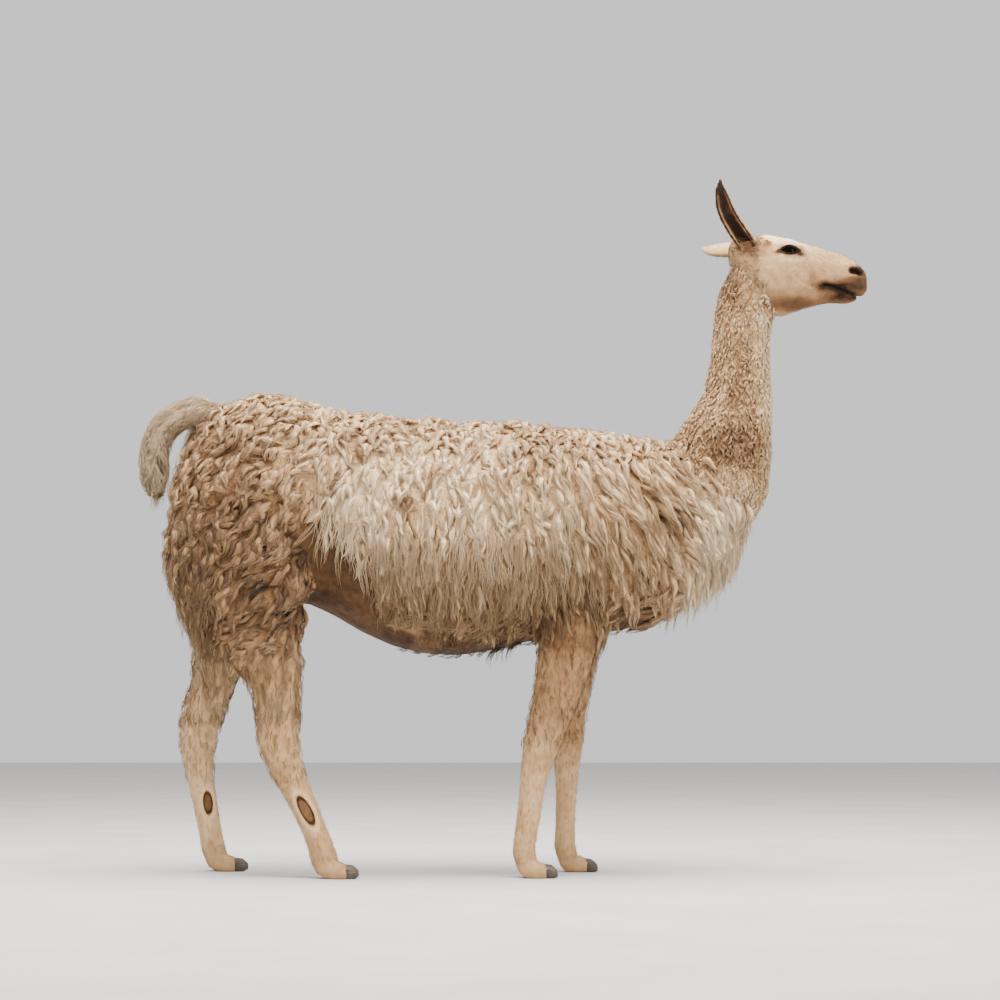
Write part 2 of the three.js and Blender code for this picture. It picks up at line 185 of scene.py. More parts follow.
def mesh_from(name, points, triangles, smooth=True):
    mesh = bpy.data.meshes.new(name)
    mesh.vertices.add(len(points))
    mesh.vertices.foreach_set("co", np.asarray(points, np.float32).ravel())
    mesh.loops.add(triangles.size)
    mesh.loops.foreach_set("vertex_index", np.asarray(triangles, np.int32).ravel())
    mesh.polygons.add(len(triangles))
    mesh.polygons.foreach_set("loop_start", np.arange(0, triangles.size, 3, dtype=np.int32))
    mesh.polygons.foreach_set("use_smooth", np.full(len(triangles), smooth))
    mesh.update(calc_edges=True)
    return mesh


def joined(meshes):
    """One array of points and one of triangles, from several pairs of them."""
    starts = np.cumsum([0] + [len(points) for points, _ in meshes])
    triangles = [faces + start for (_, faces), start in zip(meshes, starts)]
    return np.concatenate([points for points, _ in meshes]), np.concatenate(triangles)


def write_attribute(mesh, name, values):
    values = np.asarray(values, np.float32)
    kind, key = ("FLOAT_VECTOR", "vector") if values.ndim == 2 else ("FLOAT", "value")
    mesh.attributes.new(name, kind, "POINT").data.foreach_set(key, values.ravel())


def piece_from(name, mesh):
    piece = bpy.data.objects.new(name, mesh)
    bpy.context.scene.collection.objects.link(piece)
    return piece


def use_modifier(piece, kind, **settings):
    """Adds a modifier, and makes its result the piece's own mesh."""
    modifier = piece.modifiers.new(kind.lower(), kind)
    for key, value in settings.items():
        setattr(modifier, key, value)
    with bpy.context.temp_override(object=piece, active_object=piece, selected_objects=[piece]):
        bpy.ops.object.modifier_apply(modifier=modifier.name)


def edges_of(mesh):
    pairs = np.empty(len(mesh.edges) * 2, np.int32)
    mesh.edges.foreach_get("vertices", pairs)
    return pairs.reshape(-1, 2)


def blurred(values, pairs, rounds, share=0.5):
    """Averages each point's value with its neighbours'. share may differ from point to point."""
    values = np.asarray(values, float).copy()
    flat = values.reshape(len(values), -1)
    touching = np.bincount(pairs.ravel(), minlength=len(flat)).astype(float)
    for turn in range(rounds):
        weight = share(turn) if callable(share) else share
        for column in range(flat.shape[1]):
            one = flat[:, column]
            around = np.bincount(pairs[:, 0], one[pairs[:, 1]], len(one))
            around += np.bincount(pairs[:, 1], one[pairs[:, 0]], len(one))
            flat[:, column] = one + weight * (around / np.maximum(touching, 1) - one)
    return flat.reshape(values.shape)


def normals_of(points, triangles):
    """The way each point faces, from the triangles that meet there."""
    a, b, c = points[triangles.T]
    faces = np.cross(b - a, c - a)
    normals = np.zeros_like(points)
    for corner in range(3):
        for axis in range(3):
            normals[:, axis] += np.bincount(triangles[:, corner], faces[:, axis], len(points))
    return unit(normals)


# %% [markdown]
# ## The places on the animal
# The solids say where everything is: an eye is where its node's box is. The rest of the places
# are given in millimetres along the solids' own axes, moved with the eye's box, and a few are read
# from the boxes of the head, jaw and ears.

# %% Places
def middle_of(node):
    low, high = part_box(node)
    return np.array((low + high) / 2)


EYE_RADIUS = (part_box("eye_right")[1].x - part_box("eye_right")[0].x) / 2
EYE_CENTRE = {-1: middle_of("eye_right"), 1: middle_of("eye_left")}
EYE_FORWARD = 737 * MM  # the eye's place along the solids' own X axis
SHIFT = EYE_CENTRE[-1][0] - EYE_FORWARD  # from the solids' own origin to the frame's
NOT_FLESH = ("eye_", "nail_")
FLESH = [name for name in sorted(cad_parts) if not name.startswith(NOT_FLESH)]


def at(x, y, z):
    """A place given in millimetres along the solids' own axes."""
    return np.array([x * MM + SHIFT, y * MM, z * MM])


def measured(points):
    """The reverse of at(): how far points are along the solids' own axes, in millimetres."""
    return (points[:, 0] - SHIFT) / MM, points[:, 1] / MM, points[:, 2] / MM


def mirror(points):
    """Points of the right side moved over to the left, so that both sides are treated alike."""
    return np.stack([points[:, 0], np.abs(points[:, 1]), points[:, 2]], 1)


report(len(FLESH), "flesh nodes, eye radius", round(EYE_RADIUS, 4), "shift", round(SHIFT, 5))

# %% [markdown]
# ## One skin for all the flesh
# The solids are parted where a person would name the parts, and a real hide is not. Boolean
# unions would keep every facet, so the solids are copied, swollen by less than a millimetre so
# that they overlap, and remeshed by voxels, which melts them into one closed surface.

# %% Melt the solids together
FINE_VOXEL = 4.0 * MM
VOXEL = FINE_VOXEL
SWELL = 0.7 * MM
EAR_SWELL = 1.3 * MM  # an ear's edge is thinner than a voxel, and would be lost
SOCKET_FILL = 1.6 * MM


def swollen_copy(node):
    """A node's points, each one once and moved a little outward, and its triangles."""
    points, triangles = mesh_arrays(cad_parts[node].data)
    points, which = np.unique(np.round(points, 6), axis=0, return_inverse=True)
    triangles = which.ravel()[triangles]
    a, b, c = triangles.T
    triangles = triangles[(a != b) & (b != c) & (c != a)]
    a, b, c = points[triangles.T]
    faces = unit(np.cross(b - a, c - a))
    normals = np.zeros_like(points)
    for corner in range(3):
        np.add.at(normals, triangles[:, corner], faces)
    return points + unit(normals) * (EAR_SWELL if node.startswith("ear") else SWELL), triangles


solids = [swollen_copy(node) for node in FLESH]
owners = list(range(len(FLESH)))
for centre in EYE_CENTRE.values():  # balls close the sockets, so that the hide has no cave there
    solids.append(ball(centre, EYE_RADIUS + SOCKET_FILL, rings=20, spokes=32)[:2])
    owners.append(FLESH.index("head"))
flesh_points, flesh_triangles = joined(solids)
flesh_node = np.repeat(owners, [len(triangles) for _, triangles in solids])

hide = piece_from("hide", mesh_from("hide", flesh_points, flesh_triangles))
use_modifier(hide, "REMESH", mode="VOXEL", voxel_size=VOXEL, adaptivity=0.0)
report("hide melted:", len(hide.data.vertices), "points")

# %% [markdown]
# ## Which part each point belongs to
# The coat is deep on the trunk and thin on the shins. Each point of the hide takes the name of
# the nearest solid, and the depth that goes with it, and then the depths are blurred along the
# surface, so that no step shows where two parts meet.

# %% Name the points
COAT_DEPTH = {
    "trunk": 18, "neck": 10, "tail": 18, "thigh": 15, "shank": 3, "hind_cannon": 2, "foot": 1.0,
    "forearm": 4, "knee": 2, "fore_cannon": 2, "head": 2.0, "lower_jaw": 2.0, "ear": 0.0,
}
SMOOTHING = {
    "trunk": 40, "neck": 40, "tail": 20, "thigh": 40, "shank": 26, "hind_cannon": 20, "foot": 4,
    "forearm": 26, "knee": 20, "fore_cannon": 20, "head": 9, "lower_jaw": 5, "ear": 3,
}


def part_of(node):
    return max((part for part in COAT_DEPTH if node.startswith(part)), key=len)


skin_points, skin_triangles = mesh_arrays(hide.data)
skin_pairs = edges_of(hide.data)
flesh_tree = BVHTree.FromPolygons(flesh_points.tolist(), flesh_triangles.tolist())
PART = {name: number for number, name in enumerate(COAT_DEPTH)}
NODE_PART = np.array([PART[part_of(node)] for node in FLESH])


def parts_at(points):
    """The number of the part that each point belongs to, which is the nearest solid's."""
    nearest = [flesh_tree.find_nearest(p)[2] for p in points]
    return NODE_PART[flesh_node[nearest]]


def is_part(parts, *names):
    return np.isin(parts, [PART[name] for name in names])


skin_part = parts_at(skin_points)
report("points named")

# %% [markdown]
# ## Smooth away the facets
# Facets of the trunk are as long as a hand, and those of an ear as a fingertip, so the trunk is
# averaged for many rounds and the ears for few. Each round moves a point half way to the middle
# of its neighbours.

# %% Smooth
rounds_for = np.zeros(len(skin_points))
depth = np.zeros(len(skin_points))
for part, number in PART.items():
    rounds_for[skin_part == number] = SMOOTHING[part] * (FINE_VOXEL / VOXEL)
    depth[skin_part == number] = COAT_DEPTH[part] * MM
rounds_for = blurred(rounds_for, skin_pairs, 6)
skin_points = blurred(
    skin_points, skin_pairs, int(rounds_for.max()) + 1,
    share=lambda turn: 0.5 * np.clip(rounds_for - turn, 0, 1),
)
report("facets smoothed")

# %% [markdown]
# ## Sink the hide below the coat
# The solids reach to the tips of the wool, so the hide lies inside them by the coat's depth. On
# the bare belly and behind the flank wool there is only short hair, and there the hide stays
# near the surface.

# %% Sink
BARE_DEPTH = 5 * MM
TAIL_END = 0.985


def bare_belly(points, normals, raised=0):
    """1 where the trunk has short hair: underneath, and in the gap before the thigh."""
    x, _, z = measured(points)
    steep = np.interp(x, [-300, -200, 250, 400], [-0.35, -0.62, -0.62, -0.35])
    under = soft_step(steep, steep - 0.35, normals[:, 2]) * soft_step(480, 300, x)
    hem = np.interp(x, [-480, -455, -430, -400, -367, -324, -300, -242, -100, 0],
                    [885, 862, 846, 824, 795, 728, 656, 575, 535, 510])
    gap = soft_step(-500, -455, x) * soft_step(-60, -160, x) * soft_step(35, -10, z - hem - raised)
    return np.maximum(under, gap)


skin_normals = normals_of(skin_points, skin_triangles)
bare = bare_belly(skin_points, skin_normals) * is_part(skin_part, "trunk")
depth = depth * (1 - bare) + BARE_DEPTH * bare
depth = blurred(depth, skin_pairs, 30)
skin_points = skin_points - skin_normals * depth[:, None]
skin_points = blurred(skin_points, skin_pairs, 4, share=0.5 * soft_step(5 * MM, 12 * MM, depth))
tail_end = is_part(skin_part, "tail") & (skin_points[:, 2] < TAIL_END)  # below it is only wool
skin_points[tail_end, 2] = TAIL_END + 0.2 * (skin_points[tail_end, 2] - TAIL_END)
skin_points[:, 2] = np.maximum(skin_points[:, 2], 0.0)
report("hide sunk by", round(float(depth.min() / MM), 1), "to", round(float(depth.max() / MM), 1), "mm")

# %% [markdown]
# ## Few triangles where wool covers, many on the face
# Under deep wool the hide needs no detail, so a Decimate modifier with a vertex group thins it
# there, and leaves the head alone. Then the triangles of the ears, muzzle and eyes are split in
# four, and those round the lids, nostrils and lips once more. So are those of the bare glands
# that a llama has on its hind shins.

# %% Thin the hide, then refine the face
HIDE_TRIANGLES = 46000


def refined(points, triangles, chosen):
    """Splits each chosen triangle in four, and its neighbours just enough to stay joined."""
    pairs = np.stack([triangles, np.roll(triangles, -1, axis=1)], axis=2)
    keys = np.sort(pairs, axis=2)
    codes = keys[..., 0].astype(np.int64) * len(points) + keys[..., 1]
    cut_codes = np.unique(codes[chosen])
    places = np.searchsorted(cut_codes, codes)
    cut = cut_codes[np.minimum(places, len(cut_codes) - 1)] == codes
    middles = (points[cut_codes // len(points)] + points[cut_codes % len(points)]) / 2
    new = places + len(points)
    result = [triangles[~cut.any(axis=1)]]
    for turn in range(3):  # one cut edge: two triangles
        a, b, c = turn, (turn + 1) % 3, (turn + 2) % 3
        one = cut[:, a] & ~cut[:, b] & ~cut[:, c]
        t, m = triangles[one], new[one]
        result += [np.stack([t[:, a], m[:, a], t[:, c]], 1), np.stack([m[:, a], t[:, b], t[:, c]], 1)]
        two = cut[:, a] & cut[:, b] & ~cut[:, c]
        t, m = triangles[two], new[two]
        result += [np.stack([m[:, a], t[:, b], m[:, b]], 1), np.stack([t[:, a], m[:, a], m[:, b]], 1),
                   np.stack([t[:, a], m[:, b], t[:, c]], 1)]
    every = cut.all(axis=1)
    t, m = triangles[every], new[every]
    for turn in range(3):
        result.append(np.stack([t[:, turn], m[:, turn], m[:, turn - 1]], 1))
    result.append(m)
    return np.concatenate([points, middles]), np.concatenate(result)


hide.data = mesh_from("hide", skin_points, skin_triangles)
keep = is_part(skin_part, "head", "lower_jaw", "ear")
thin = hide.vertex_groups.new(name="thin")
thin.add(np.flatnonzero(~keep).tolist(), 1.0, "REPLACE")
kept_triangles = int(keep[skin_triangles].all(axis=1).sum())
use_modifier(hide, "DECIMATE", ratio=(HIDE_TRIANGLES + kept_triangles) / len(skin_triangles),
             vertex_group="thin", vertex_group_factor=10.0)
skin_points, skin_triangles = mesh_arrays(hide.data)
report("hide thinned to", len(skin_triangles), "triangles,", kept_triangles, "kept")


def near(places, reach):
    """Picks the triangles whose middle is within reach of a place on either side."""
    middles = mirror(skin_points[skin_triangles].mean(axis=1))
    return np.min([np.linalg.norm(middles - place, axis=1) for place in places], axis=0) < reach


HEAD_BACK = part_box("head")[0].x
HEAD_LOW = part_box("lower_jaw")[0].z
EYE = EYE_CENTRE[1]
NOSTRIL = at(912, 31, 1531)
MOUTH = [at(x, 30, z) for x, z in ((829, 1497), (850, 1493), (872, 1485), (894, 1477), (915, 1470))]
middles = skin_points[skin_triangles].mean(axis=1)
ears = (middles[:, 2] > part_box("ear_left")[0].z) & (middles[:, 0] < at(640, 0, 0)[0])
muzzle = (middles[:, 0] > at(850, 0, 0)[0]) & (middles[:, 2] > HEAD_LOW - 0.01)
# Each hind leg has a bare gland on its shin: its middle, half width, half length and tilt.
GLANDS = {-1: (at(-476, 0, 166), 14 * MM, 40 * MM, math.radians(29)),
          1: (at(-751, 0, 175), 12 * MM, 30 * MM, math.radians(6))}


def gland_at(points):
    """How far each point is from a gland's middle, where 1 is the gland's edge."""
    best = np.full(len(points), 9.0)
    for side, (middle, half_width, half_length, tilt) in GLANDS.items():
        x, z = points[:, 0] - middle[0], points[:, 2] - middle[2]
        across = x * math.cos(tilt) + z * math.sin(tilt)
        down = x * math.sin(tilt) - z * math.cos(tilt)
        away = np.hypot(across / half_width, down / half_length)
        best = np.where(points[:, 1] * side > 0, np.minimum(best, away), best)
    return best


glands = gland_at(middles) < 1.6
skin_points, skin_triangles = refined(
    skin_points, skin_triangles, ears | muzzle | near([EYE], 0.040) | glands)
glands = gland_at(skin_points[skin_triangles].mean(axis=1)) < 1.3
fine = near([EYE], 0.031) | near([NOSTRIL], 0.016) | near(MOUTH, 0.010) | glands
skin_points, skin_triangles = refined(skin_points, skin_triangles, fine)
report("face refined:", len(skin_triangles), "triangles")

# The voxels leave steps along the thin edges of the ears. Averaging out and back by turns
# smooths them, and keeps the ears' size.
pairs = np.unique(np.sort(np.concatenate([skin_triangles[:, [0, 1]], skin_triangles[:, [1, 2]],
                                          skin_triangles[:, [2, 0]]]), axis=1), axis=0)
is_ear = (skin_points[:, 2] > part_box("ear_left")[0].z + 0.004) & (skin_points[:, 0] < at(632, 0, 0)[0])
for turn in range(12):
    skin_points = blurred(skin_points, pairs, 1, share=is_ear * (0.6 if turn % 2 == 0 else -0.62))

# %% [markdown]
# ## Sculpt the face
# A sculptor pushes clay out over bone and muscle and in between them. Each line below is one
# push: its place, how far it reaches, and how many millimetres it moves the hide along its
# normal, on both sides of the head at once.

# %% Sculpt
PUSHES = {
    "cheek muscle": ((700, 60, 1482), (42, 30, 34), 4.0),
    "temple": ((690, 58, 1592), (20, 22, 16), -4.0),
    "eye socket": ((737, 66, 1577), (40, 26, 32), 5.0),
    "brow ridge": ((734, 64, 1606), (38, 20, 8), 6.5),
    "cheekbone": ((742, 62, 1549), (44, 20, 8), 3.5),
    "hollow before the eye": ((786, 44, 1553), (22, 18, 15), -3.5),
    "hollow under the cheekbone": ((782, 46, 1522), (34, 18, 16), -4.0),
    "nose bridge": ((806, 0, 1606), (60, 13, 16), 2.0),
    "side of the nose": ((850, 36, 1566), (34, 14, 12), -2.0),
    "wing of the nostril": ((902, 30, 1549), (24, 14, 8), 4.0),
    "under the nostril": ((900, 34, 1516), (24, 14, 7), 2.5),
    "upper lip": ((905, 32, 1497), (26, 20, 10), 4.5),
    "lip tip": ((934, 12, 1486), (14, 14, 10), 4.0),
    "parting of the lip": ((945, 0, 1500), (22, 2.6, 26), -4.5),
    "corner of the mouth": ((826, 42, 1497), (8, 16, 6), -4.0),
    "lower lip": ((893, 22, 1465), (24, 18, 8), 3.0),
    "chin": ((868, 10, 1454), (22, 18, 9), 2.5),
    "jaw bone": ((762, 26, 1436), (52, 16, 9), 3.0),
    "groove behind the jaw": ((672, 56, 1452), (12, 22, 26), -3.5),
    "crease of the cheek": ((795, 46, 1496), (7, 18, 16), -2.5),
}

skin_normals = normals_of(skin_points, skin_triangles)
push = np.zeros(len(skin_points))
for centre, radii, amount in PUSHES.values():
    push += amount * MM * bump_at(mirror(skin_points), at(*centre), np.array(radii) * MM)
head_mask = soft_step(HEAD_BACK - 0.01, HEAD_BACK + 0.02, skin_points[:, 0])
skin_points = skin_points + skin_normals * (push * head_mask)[:, None]


def far_from_line(points, line):
    """Each point's distance in the XZ plane to a chain of straight stretches."""
    best = np.full(len(points), 1e9)
    for start, end in zip(line[:-1], line[1:]):
        along = (end - start)[[0, 2]]
        reach = points[:, [0, 2]] - start[[0, 2]]
        share = np.clip(reach @ along / (along @ along), 0, 1)
        best = np.minimum(best, np.linalg.norm(reach - share[:, None] * along, axis=1))
    return best


def groove(line, width, depth_mm, rim_mm=0.0, round_front=False):
    """Cuts a groove of that half width along a line on both sides, with a raised rim."""
    global skin_points
    away = far_from_line(skin_points, line)
    outside = soft_step(0.008, 0.018, np.abs(skin_points[:, 1]))
    if round_front:
        outside = np.maximum(outside, soft_step(at(905, 0, 0)[0], at(925, 0, 0)[0], skin_points[:, 0]))
    rim = rim_mm * np.exp(-((away - 2.2 * width) / width) ** 2)
    cut = rim - depth_mm * np.exp(-(away / width) ** 2)
    normals = normals_of(skin_points, skin_triangles)
    side_on = soft_step(0.1, 0.45, np.hypot(normals[:, 0] * round_front, normals[:, 1]))
    skin_points = skin_points + normals * (cut * MM * outside * side_on * head_mask)[:, None]


NOSTRIL_LINE = [at(x, 0, z) for x, z in ((902, 1533), (913, 1532), (922, 1526))]
MOUTH_LINE = [at(x, 0, z) for x, z in ((829, 1497), (858, 1491), (886, 1481), (911, 1471), (930, 1468))]
groove(NOSTRIL_LINE, 5.5 * MM, 10.0, 1.6)
groove(MOUTH_LINE, 4.0 * MM, 9.0, 1.2, round_front=True)
groove([at(x, 0, z) for x, z in ((748, 1520), (768, 1501), (802, 1490))], 4.5 * MM, 3.0, 1.6)
report("face sculpted")

# %% [markdown]
# ## Open the eyelids
# A lid is skin that slides on a ball, so it is made the same way: close to the eye each point of
# the hide is moved along the line from the middle of the eye. Inside an almond it goes under the
# ball's surface, and outside it stays a lid's thickness above it.

# %% Eyelids
LID_HALF_LENGTH = 23.0 * MM
LID_ABOVE = 9.8 * MM
LID_BELOW = 7.8 * MM
LID_REACH = 45 * MM  # the lids fade out between these two distances from the eye's middle
LID_FIRM = 34 * MM


def lid_bow(forward):
    """How far the lids part along the eye, from 1 at its middle to 0 at its corners."""
    return np.clip(1 - np.abs(forward / LID_HALF_LENGTH) ** 2.2, 0, 1)


def lid_edge(forward, up):
    """How far a place is outside the almond between the lids, and below zero inside it."""
    bow = lid_bow(forward)
    past_end = np.maximum(np.abs(forward) - LID_HALF_LENGTH, 0)
    beside = np.maximum(up - LID_ABOVE * bow, -LID_BELOW * bow - up)
    return np.where(past_end > 0, np.hypot(past_end, beside), beside)


for side, centre in EYE_CENTRE.items():
    reach = skin_points - centre
    far = np.linalg.norm(reach, axis=1)
    outward = reach[:, 1] * side > -0.02
    close = (far < LID_REACH) & outward
    away = unit(reach[close])
    forward, up = reach[close, 0], reach[close, 2]
    edge = lid_edge(forward, up)
    upper = soft_step(-4 * MM, 4 * MM, up)
    rim = (2.2 + 2.2 * upper) * MM * np.exp(-((edge - 3 * MM) / (3.2 * MM)) ** 2)
    fold = -1.6 * MM * upper * np.exp(-((edge - 9 * MM) / (2.0 * MM)) ** 2)
    above_ball = np.maximum(far[close], EYE_RADIUS + 1.0 * MM + rim)
    open_here = (edge < 0) & (reach[close, 1] * side > 0)
    lids = np.maximum(above_ball + fold, EYE_RADIUS + 0.9 * MM)
    lidded = np.where(open_here, np.minimum(far[close], EYE_RADIUS - 3 * MM), lids)
    blend = soft_step(LID_REACH, LID_FIRM, far[close])
    skin_points[close] = centre + away * (far[close] * (1 - blend) + lidded * blend)[:, None]
report("eyelids opened")

# %% [markdown]
# ## Lumps in the wool, and the hide's own mesh
# An unshorn coat felts into pads. The pads are raised in the hide itself, so that the locks that
# grow from it rise and fall with them. Then the hide gets its mesh, and an unwrap that gives
# each place on it a place on a flat map.

# %% Felt the hide and unwrap it
skin_normals = normals_of(skin_points, skin_triangles)
skin_part = parts_at(skin_points)
woolly = is_part(skin_part, "trunk", "thigh", "neck").astype(float)
woolly *= soft_step(560, 640, skin_points[:, 2] / MM) * (1 - bare_belly(skin_points, skin_normals))
MAT_SIZE = 0.048


def felted(points):
    """How high the felted pads stand at each point, and where the middle of its pad is."""
    bent = points + 0.012 * np.stack([cloud(points, 0.05, seed=40 + k) for k in range(3)], 1)
    height, middle = mats(bent * [1, 1, 0.72], MAT_SIZE, seed=9)
    return height, points + middle / [1, 1, 0.72] - bent


def felt(points):
    return felted(points)[0]


pads = 13.0 * (felt(skin_points) - 0.66) + cloud(skin_points, 0.11, seed=3) * 5.0
pads *= 1 - 0.7 * is_part(skin_part, "neck")
low_flank = soft_step(880, 760, skin_points[:, 2] / MM) * is_part(skin_part, "trunk")
pads *= 1 - 0.5 * low_flank
skin_points = skin_points + skin_normals * (pads * MM * woolly)[:, None]
skin_points[:, 2] = np.maximum(skin_points[:, 2], 0.0)
skin_normals = normals_of(skin_points, skin_triangles)

hide.data = mesh_from("hide", skin_points, skin_triangles)
hide.data.uv_layers.new(name="OFBake")
with bpy.context.temp_override(object=hide, active_object=hide, selected_objects=[hide]):
    bpy.context.view_layer.objects.active = hide
    bpy.ops.object.mode_set(mode="EDIT")
    bpy.ops.mesh.select_all(action="SELECT")
    bpy.ops.uv.smart_project(angle_limit=math.radians(70), island_margin=0.001)
    bpy.ops.object.mode_set(mode="OBJECT")
hide_uv = np.empty(len(hide.data.loops) * 2, np.float32)
hide.data.uv_layers["OFBake"].data.foreach_get("uv", hide_uv)
hide_uv = hide_uv.reshape(-1, 3, 2)
skin_tree = BVHTree.FromPolygons(skin_points.tolist(), skin_triangles.tolist())
report("hide unwrapped:", len(skin_triangles), "triangles")

# %% [markdown]
# ## Which way the coat lies
# Hair lies the same way on every llama: back along the spine, down the flank, forward and down
# over the shoulder, back and down over the rump, down the legs, and from the nose up to the
# poll on the face. `lie_at` gives that direction, flat along the hide, for any points.

# %% The lie of the coat
TAIL_LINE = np.array([at(x, 0, z) for x, z in (
    (-700, 1150), (-745, 1170), (-790, 1172), (-835, 1155),
    (-868, 1120), (-883, 1074), (-884, 1028), (-882, 926))])
EAR_ROOT = {-1: at(636, -42, 1580), 1: at(632, 40, 1598)}
EAR_TIP = {-1: at(564, -72, 1765), 1: at(534, 176, 1632)}


def lie_at(points, normals, parts):
    x, y, z = measured(points)
    side = np.clip(y / 25, -1, 1)
    crown = soft_step(0.35, 0.9, normals[:, 2])
    tilt = np.radians(np.interp(x, [-840, -780, -650, -490, -440, -330, -60, 120, 300, 450, 620],
                                [4, 14, 42, 38, 14, 0, 0, -6, -24, -38, -26]))
    lie = np.stack([-np.sin(tilt) - 0.35 * crown, side * crown, -np.cos(tilt)], 1)
    under = soft_step(-0.4, -0.8, normals[:, 2])[:, None]
    lie = lie * (1 - under) + np.array([-1.0, 0.0, -0.3]) * under
    lie[is_part(parts, "neck")] = (-0.25, 0.0, -1.0)
    lie[is_part(parts, "shank", "hind_cannon", "forearm", "knee", "fore_cannon", "foot")] = (0, 0, -1)
    on = is_part(parts, "head", "lower_jaw")
    cheek = soft_step(1560, 1500, z[on])
    lie[on] = np.stack([-0.95 + 0.25 * cheek, 0 * cheek, 0.3 - 0.85 * cheek], 1)
    on = is_part(parts, "tail")
    if on.any():
        away = np.linalg.norm(points[on][:, None] - TAIL_LINE[None, :-1], axis=2)
        lie[on] = (TAIL_LINE[1:] - TAIL_LINE[:-1])[away.argmin(axis=1)]
    for ear_side in (-1, 1):
        here = is_part(parts, "ear") & (np.sign(y) == ear_side)
        lie[here] = EAR_TIP[ear_side] - EAR_ROOT[ear_side]
    lie = lie - normals * np.sum(lie * normals, axis=1, keepdims=True)
    return unit(lie)


# %% [markdown]
# ## The markings
# A llama's wool is pale where it is short or clean, and brown where grease and dust have caught
# in it. Some tones are not the wool's own colour but painted light: shade is painted low on the
# flank, on the bare belly, in creases and cracks, in the nostrils, mouth and ears and on the jaw
# and cheek, and light on the flank, the chest and the tail. Each marking is a soft ball of tone,
# from 0 for cream to 1 for the darkest brown, and the hide and every lock ask the same function
# for the tone at their root.

# %% Markings
MARKINGS = {
    "back": ((-100, 0, 1170), (620, 190, 50), 0.16, 0.8),
    "rump": ((-640, 160, 1040), (190, 200, 130), 0.46, 0.85),
    "thigh": ((-650, 180, 850), (200, 130, 190), 0.60, 0.9),
    "lower thigh": ((-620, 190, 640), (190, 110, 110), 0.57, 0.95),
    "above the hock": ((-560, 190, 500), (140, 90, 60), 0.46, 0.6),
    "stifle": ((-460, 200, 760), (70, 80, 160), 0.62, 0.7),
    "upper flank": ((-200, 230, 1000), (260, 120, 100), 0.00, 0.9),
    # A painted highlight: a paler patch where the flank is lit.
    "painted highlight on the flank": ((-350, 230, 930), (100, 120, 90), -0.20, 0.9),
    "middle of the flank": ((-20, 230, 880), (240, 120, 80), 0.08, 0.8),
    # Painted shade: the lower flank, the bottom of the flank and the place behind the elbow are darker
    # towards the underside and behind the leg.
    "lower flank": ((-60, 230, 680), (300, 120, 70), 0.46, 0.85),
    "bottom of the flank": ((-40, 200, 582), (300, 180, 40), 0.76, 0.9),
    "behind the elbow": ((200, 180, 680), (110, 120, 80), 0.66, 0.8),
    "shoulder": ((400, 190, 860), (170, 120, 170), 0.38, 0.85),
    # The chest's wool is pale, and is made paler still as painted light against the shade it faces into.
    "chest": ((555, 100, 850), (105, 150, 135), -0.24, 0.95),
    "withers": ((430, 0, 1110), (70, 160, 50), 0.34, 0.7),
    "back of the neck": ((540, 0, 1300), (60, 90, 220), 0.26, 0.9),
    "nape": ((600, 0, 1500), (50, 80, 70), 0.56, 0.8),
    "middle of the neck": ((620, 90, 1230), (60, 60, 170), 0.44, 0.85),
    "front of the neck": ((715, 0, 1280), (56, 90, 240), -0.20, 0.95),
    "throat": ((690, 40, 1430), (50, 70, 40), 0.12, 0.8),
    # Painted shade in the crease where the neck meets the body.
    "crease of the neck": ((580, 110, 1080), (120, 90, 60), 0.66, 0.8),
}
FACE_MARKINGS = {
    "crown": ((740, 0, 1632), (130, 70, 16), -0.25, 0.9),
    "brow": ((738, 66, 1606), (44, 34, 12), -0.30, 1.0),
    "behind the eye": ((674, 62, 1586), (24, 34, 20), 0.62, 0.9),
    "ear base": ((642, 56, 1588), (30, 38, 28), 0.80, 0.95),
    "under the eye": ((740, 70, 1546), (42, 26, 9), 0.20, 0.6),
    # Painted shade on the face: the cheek, the jaw, the side of the nose and the crease of the cheek are
    # darker where the face turns down or folds.
    "cheek": ((712, 66, 1490), (50, 40, 38), 0.42, 0.7),
    "jaw": ((760, 40, 1445), (110, 60, 20), 0.80, 0.9),
    "side of the nose": ((820, 44, 1545), (50, 30, 24), 0.40, 0.7),
    "crease of the cheek": ((800, 50, 1512), (14, 26, 16), 0.60, 0.7),
    "nose": ((885, 0, 1570), (50, 40, 20), 0.56, 0.8),
    "front of the nose": ((930, 10, 1534), (24, 44, 18), 1.04, 1.0),
    "muzzle": ((922, 22, 1502), (42, 46, 24), 0.93, 0.95),
    "upper lip": ((890, 34, 1492), (48, 40, 15), 0.97, 0.95),
    "lower lip": ((880, 30, 1464), (46, 36, 15), 0.99, 1.0),
    "corner of the lips": ((828, 44, 1491), (20, 24, 13), 1.0, 0.95),
    "chin": ((868, 0, 1452), (34, 34, 12), 0.80, 0.8),
    "corner of the eye": ((766, 62, 1571), (13, 16, 6), 1.0, 1.0),
    "back of the eye": ((710, 66, 1574), (12, 16, 5), 1.0, 0.95),
}
SPOTS = (  # burrs and dirt: along, up and radius
    (-230, 933, 12), (-352, 1050, 9), (-581, 714, 10), (-510, 648, 13), (-563, 813, 8), (-395, 985, 8),
    (-655, 1068, 9), (-610, 700, 8), (-170, 1010, 7), (430, 905, 9), (395, 880, 8), (70, 1000, 6),
)
SHORT_TONES = {
    "shank": 0.42, "hind_cannon": 0.42, "forearm": 0.54, "knee": 0.46, "fore_cannon": 0.38,
    # The tail's pale cream is its own colour, made paler still as painted light against the shade on its
    # side.
    "foot": 0.42, "head": 0.34, "lower_jaw": 0.40, "ear": 0.46, "tail": -0.16,
}
PLAIN_TONE = 0.26
BARE_HAIR_AND_SHADE_TONE = 0.90
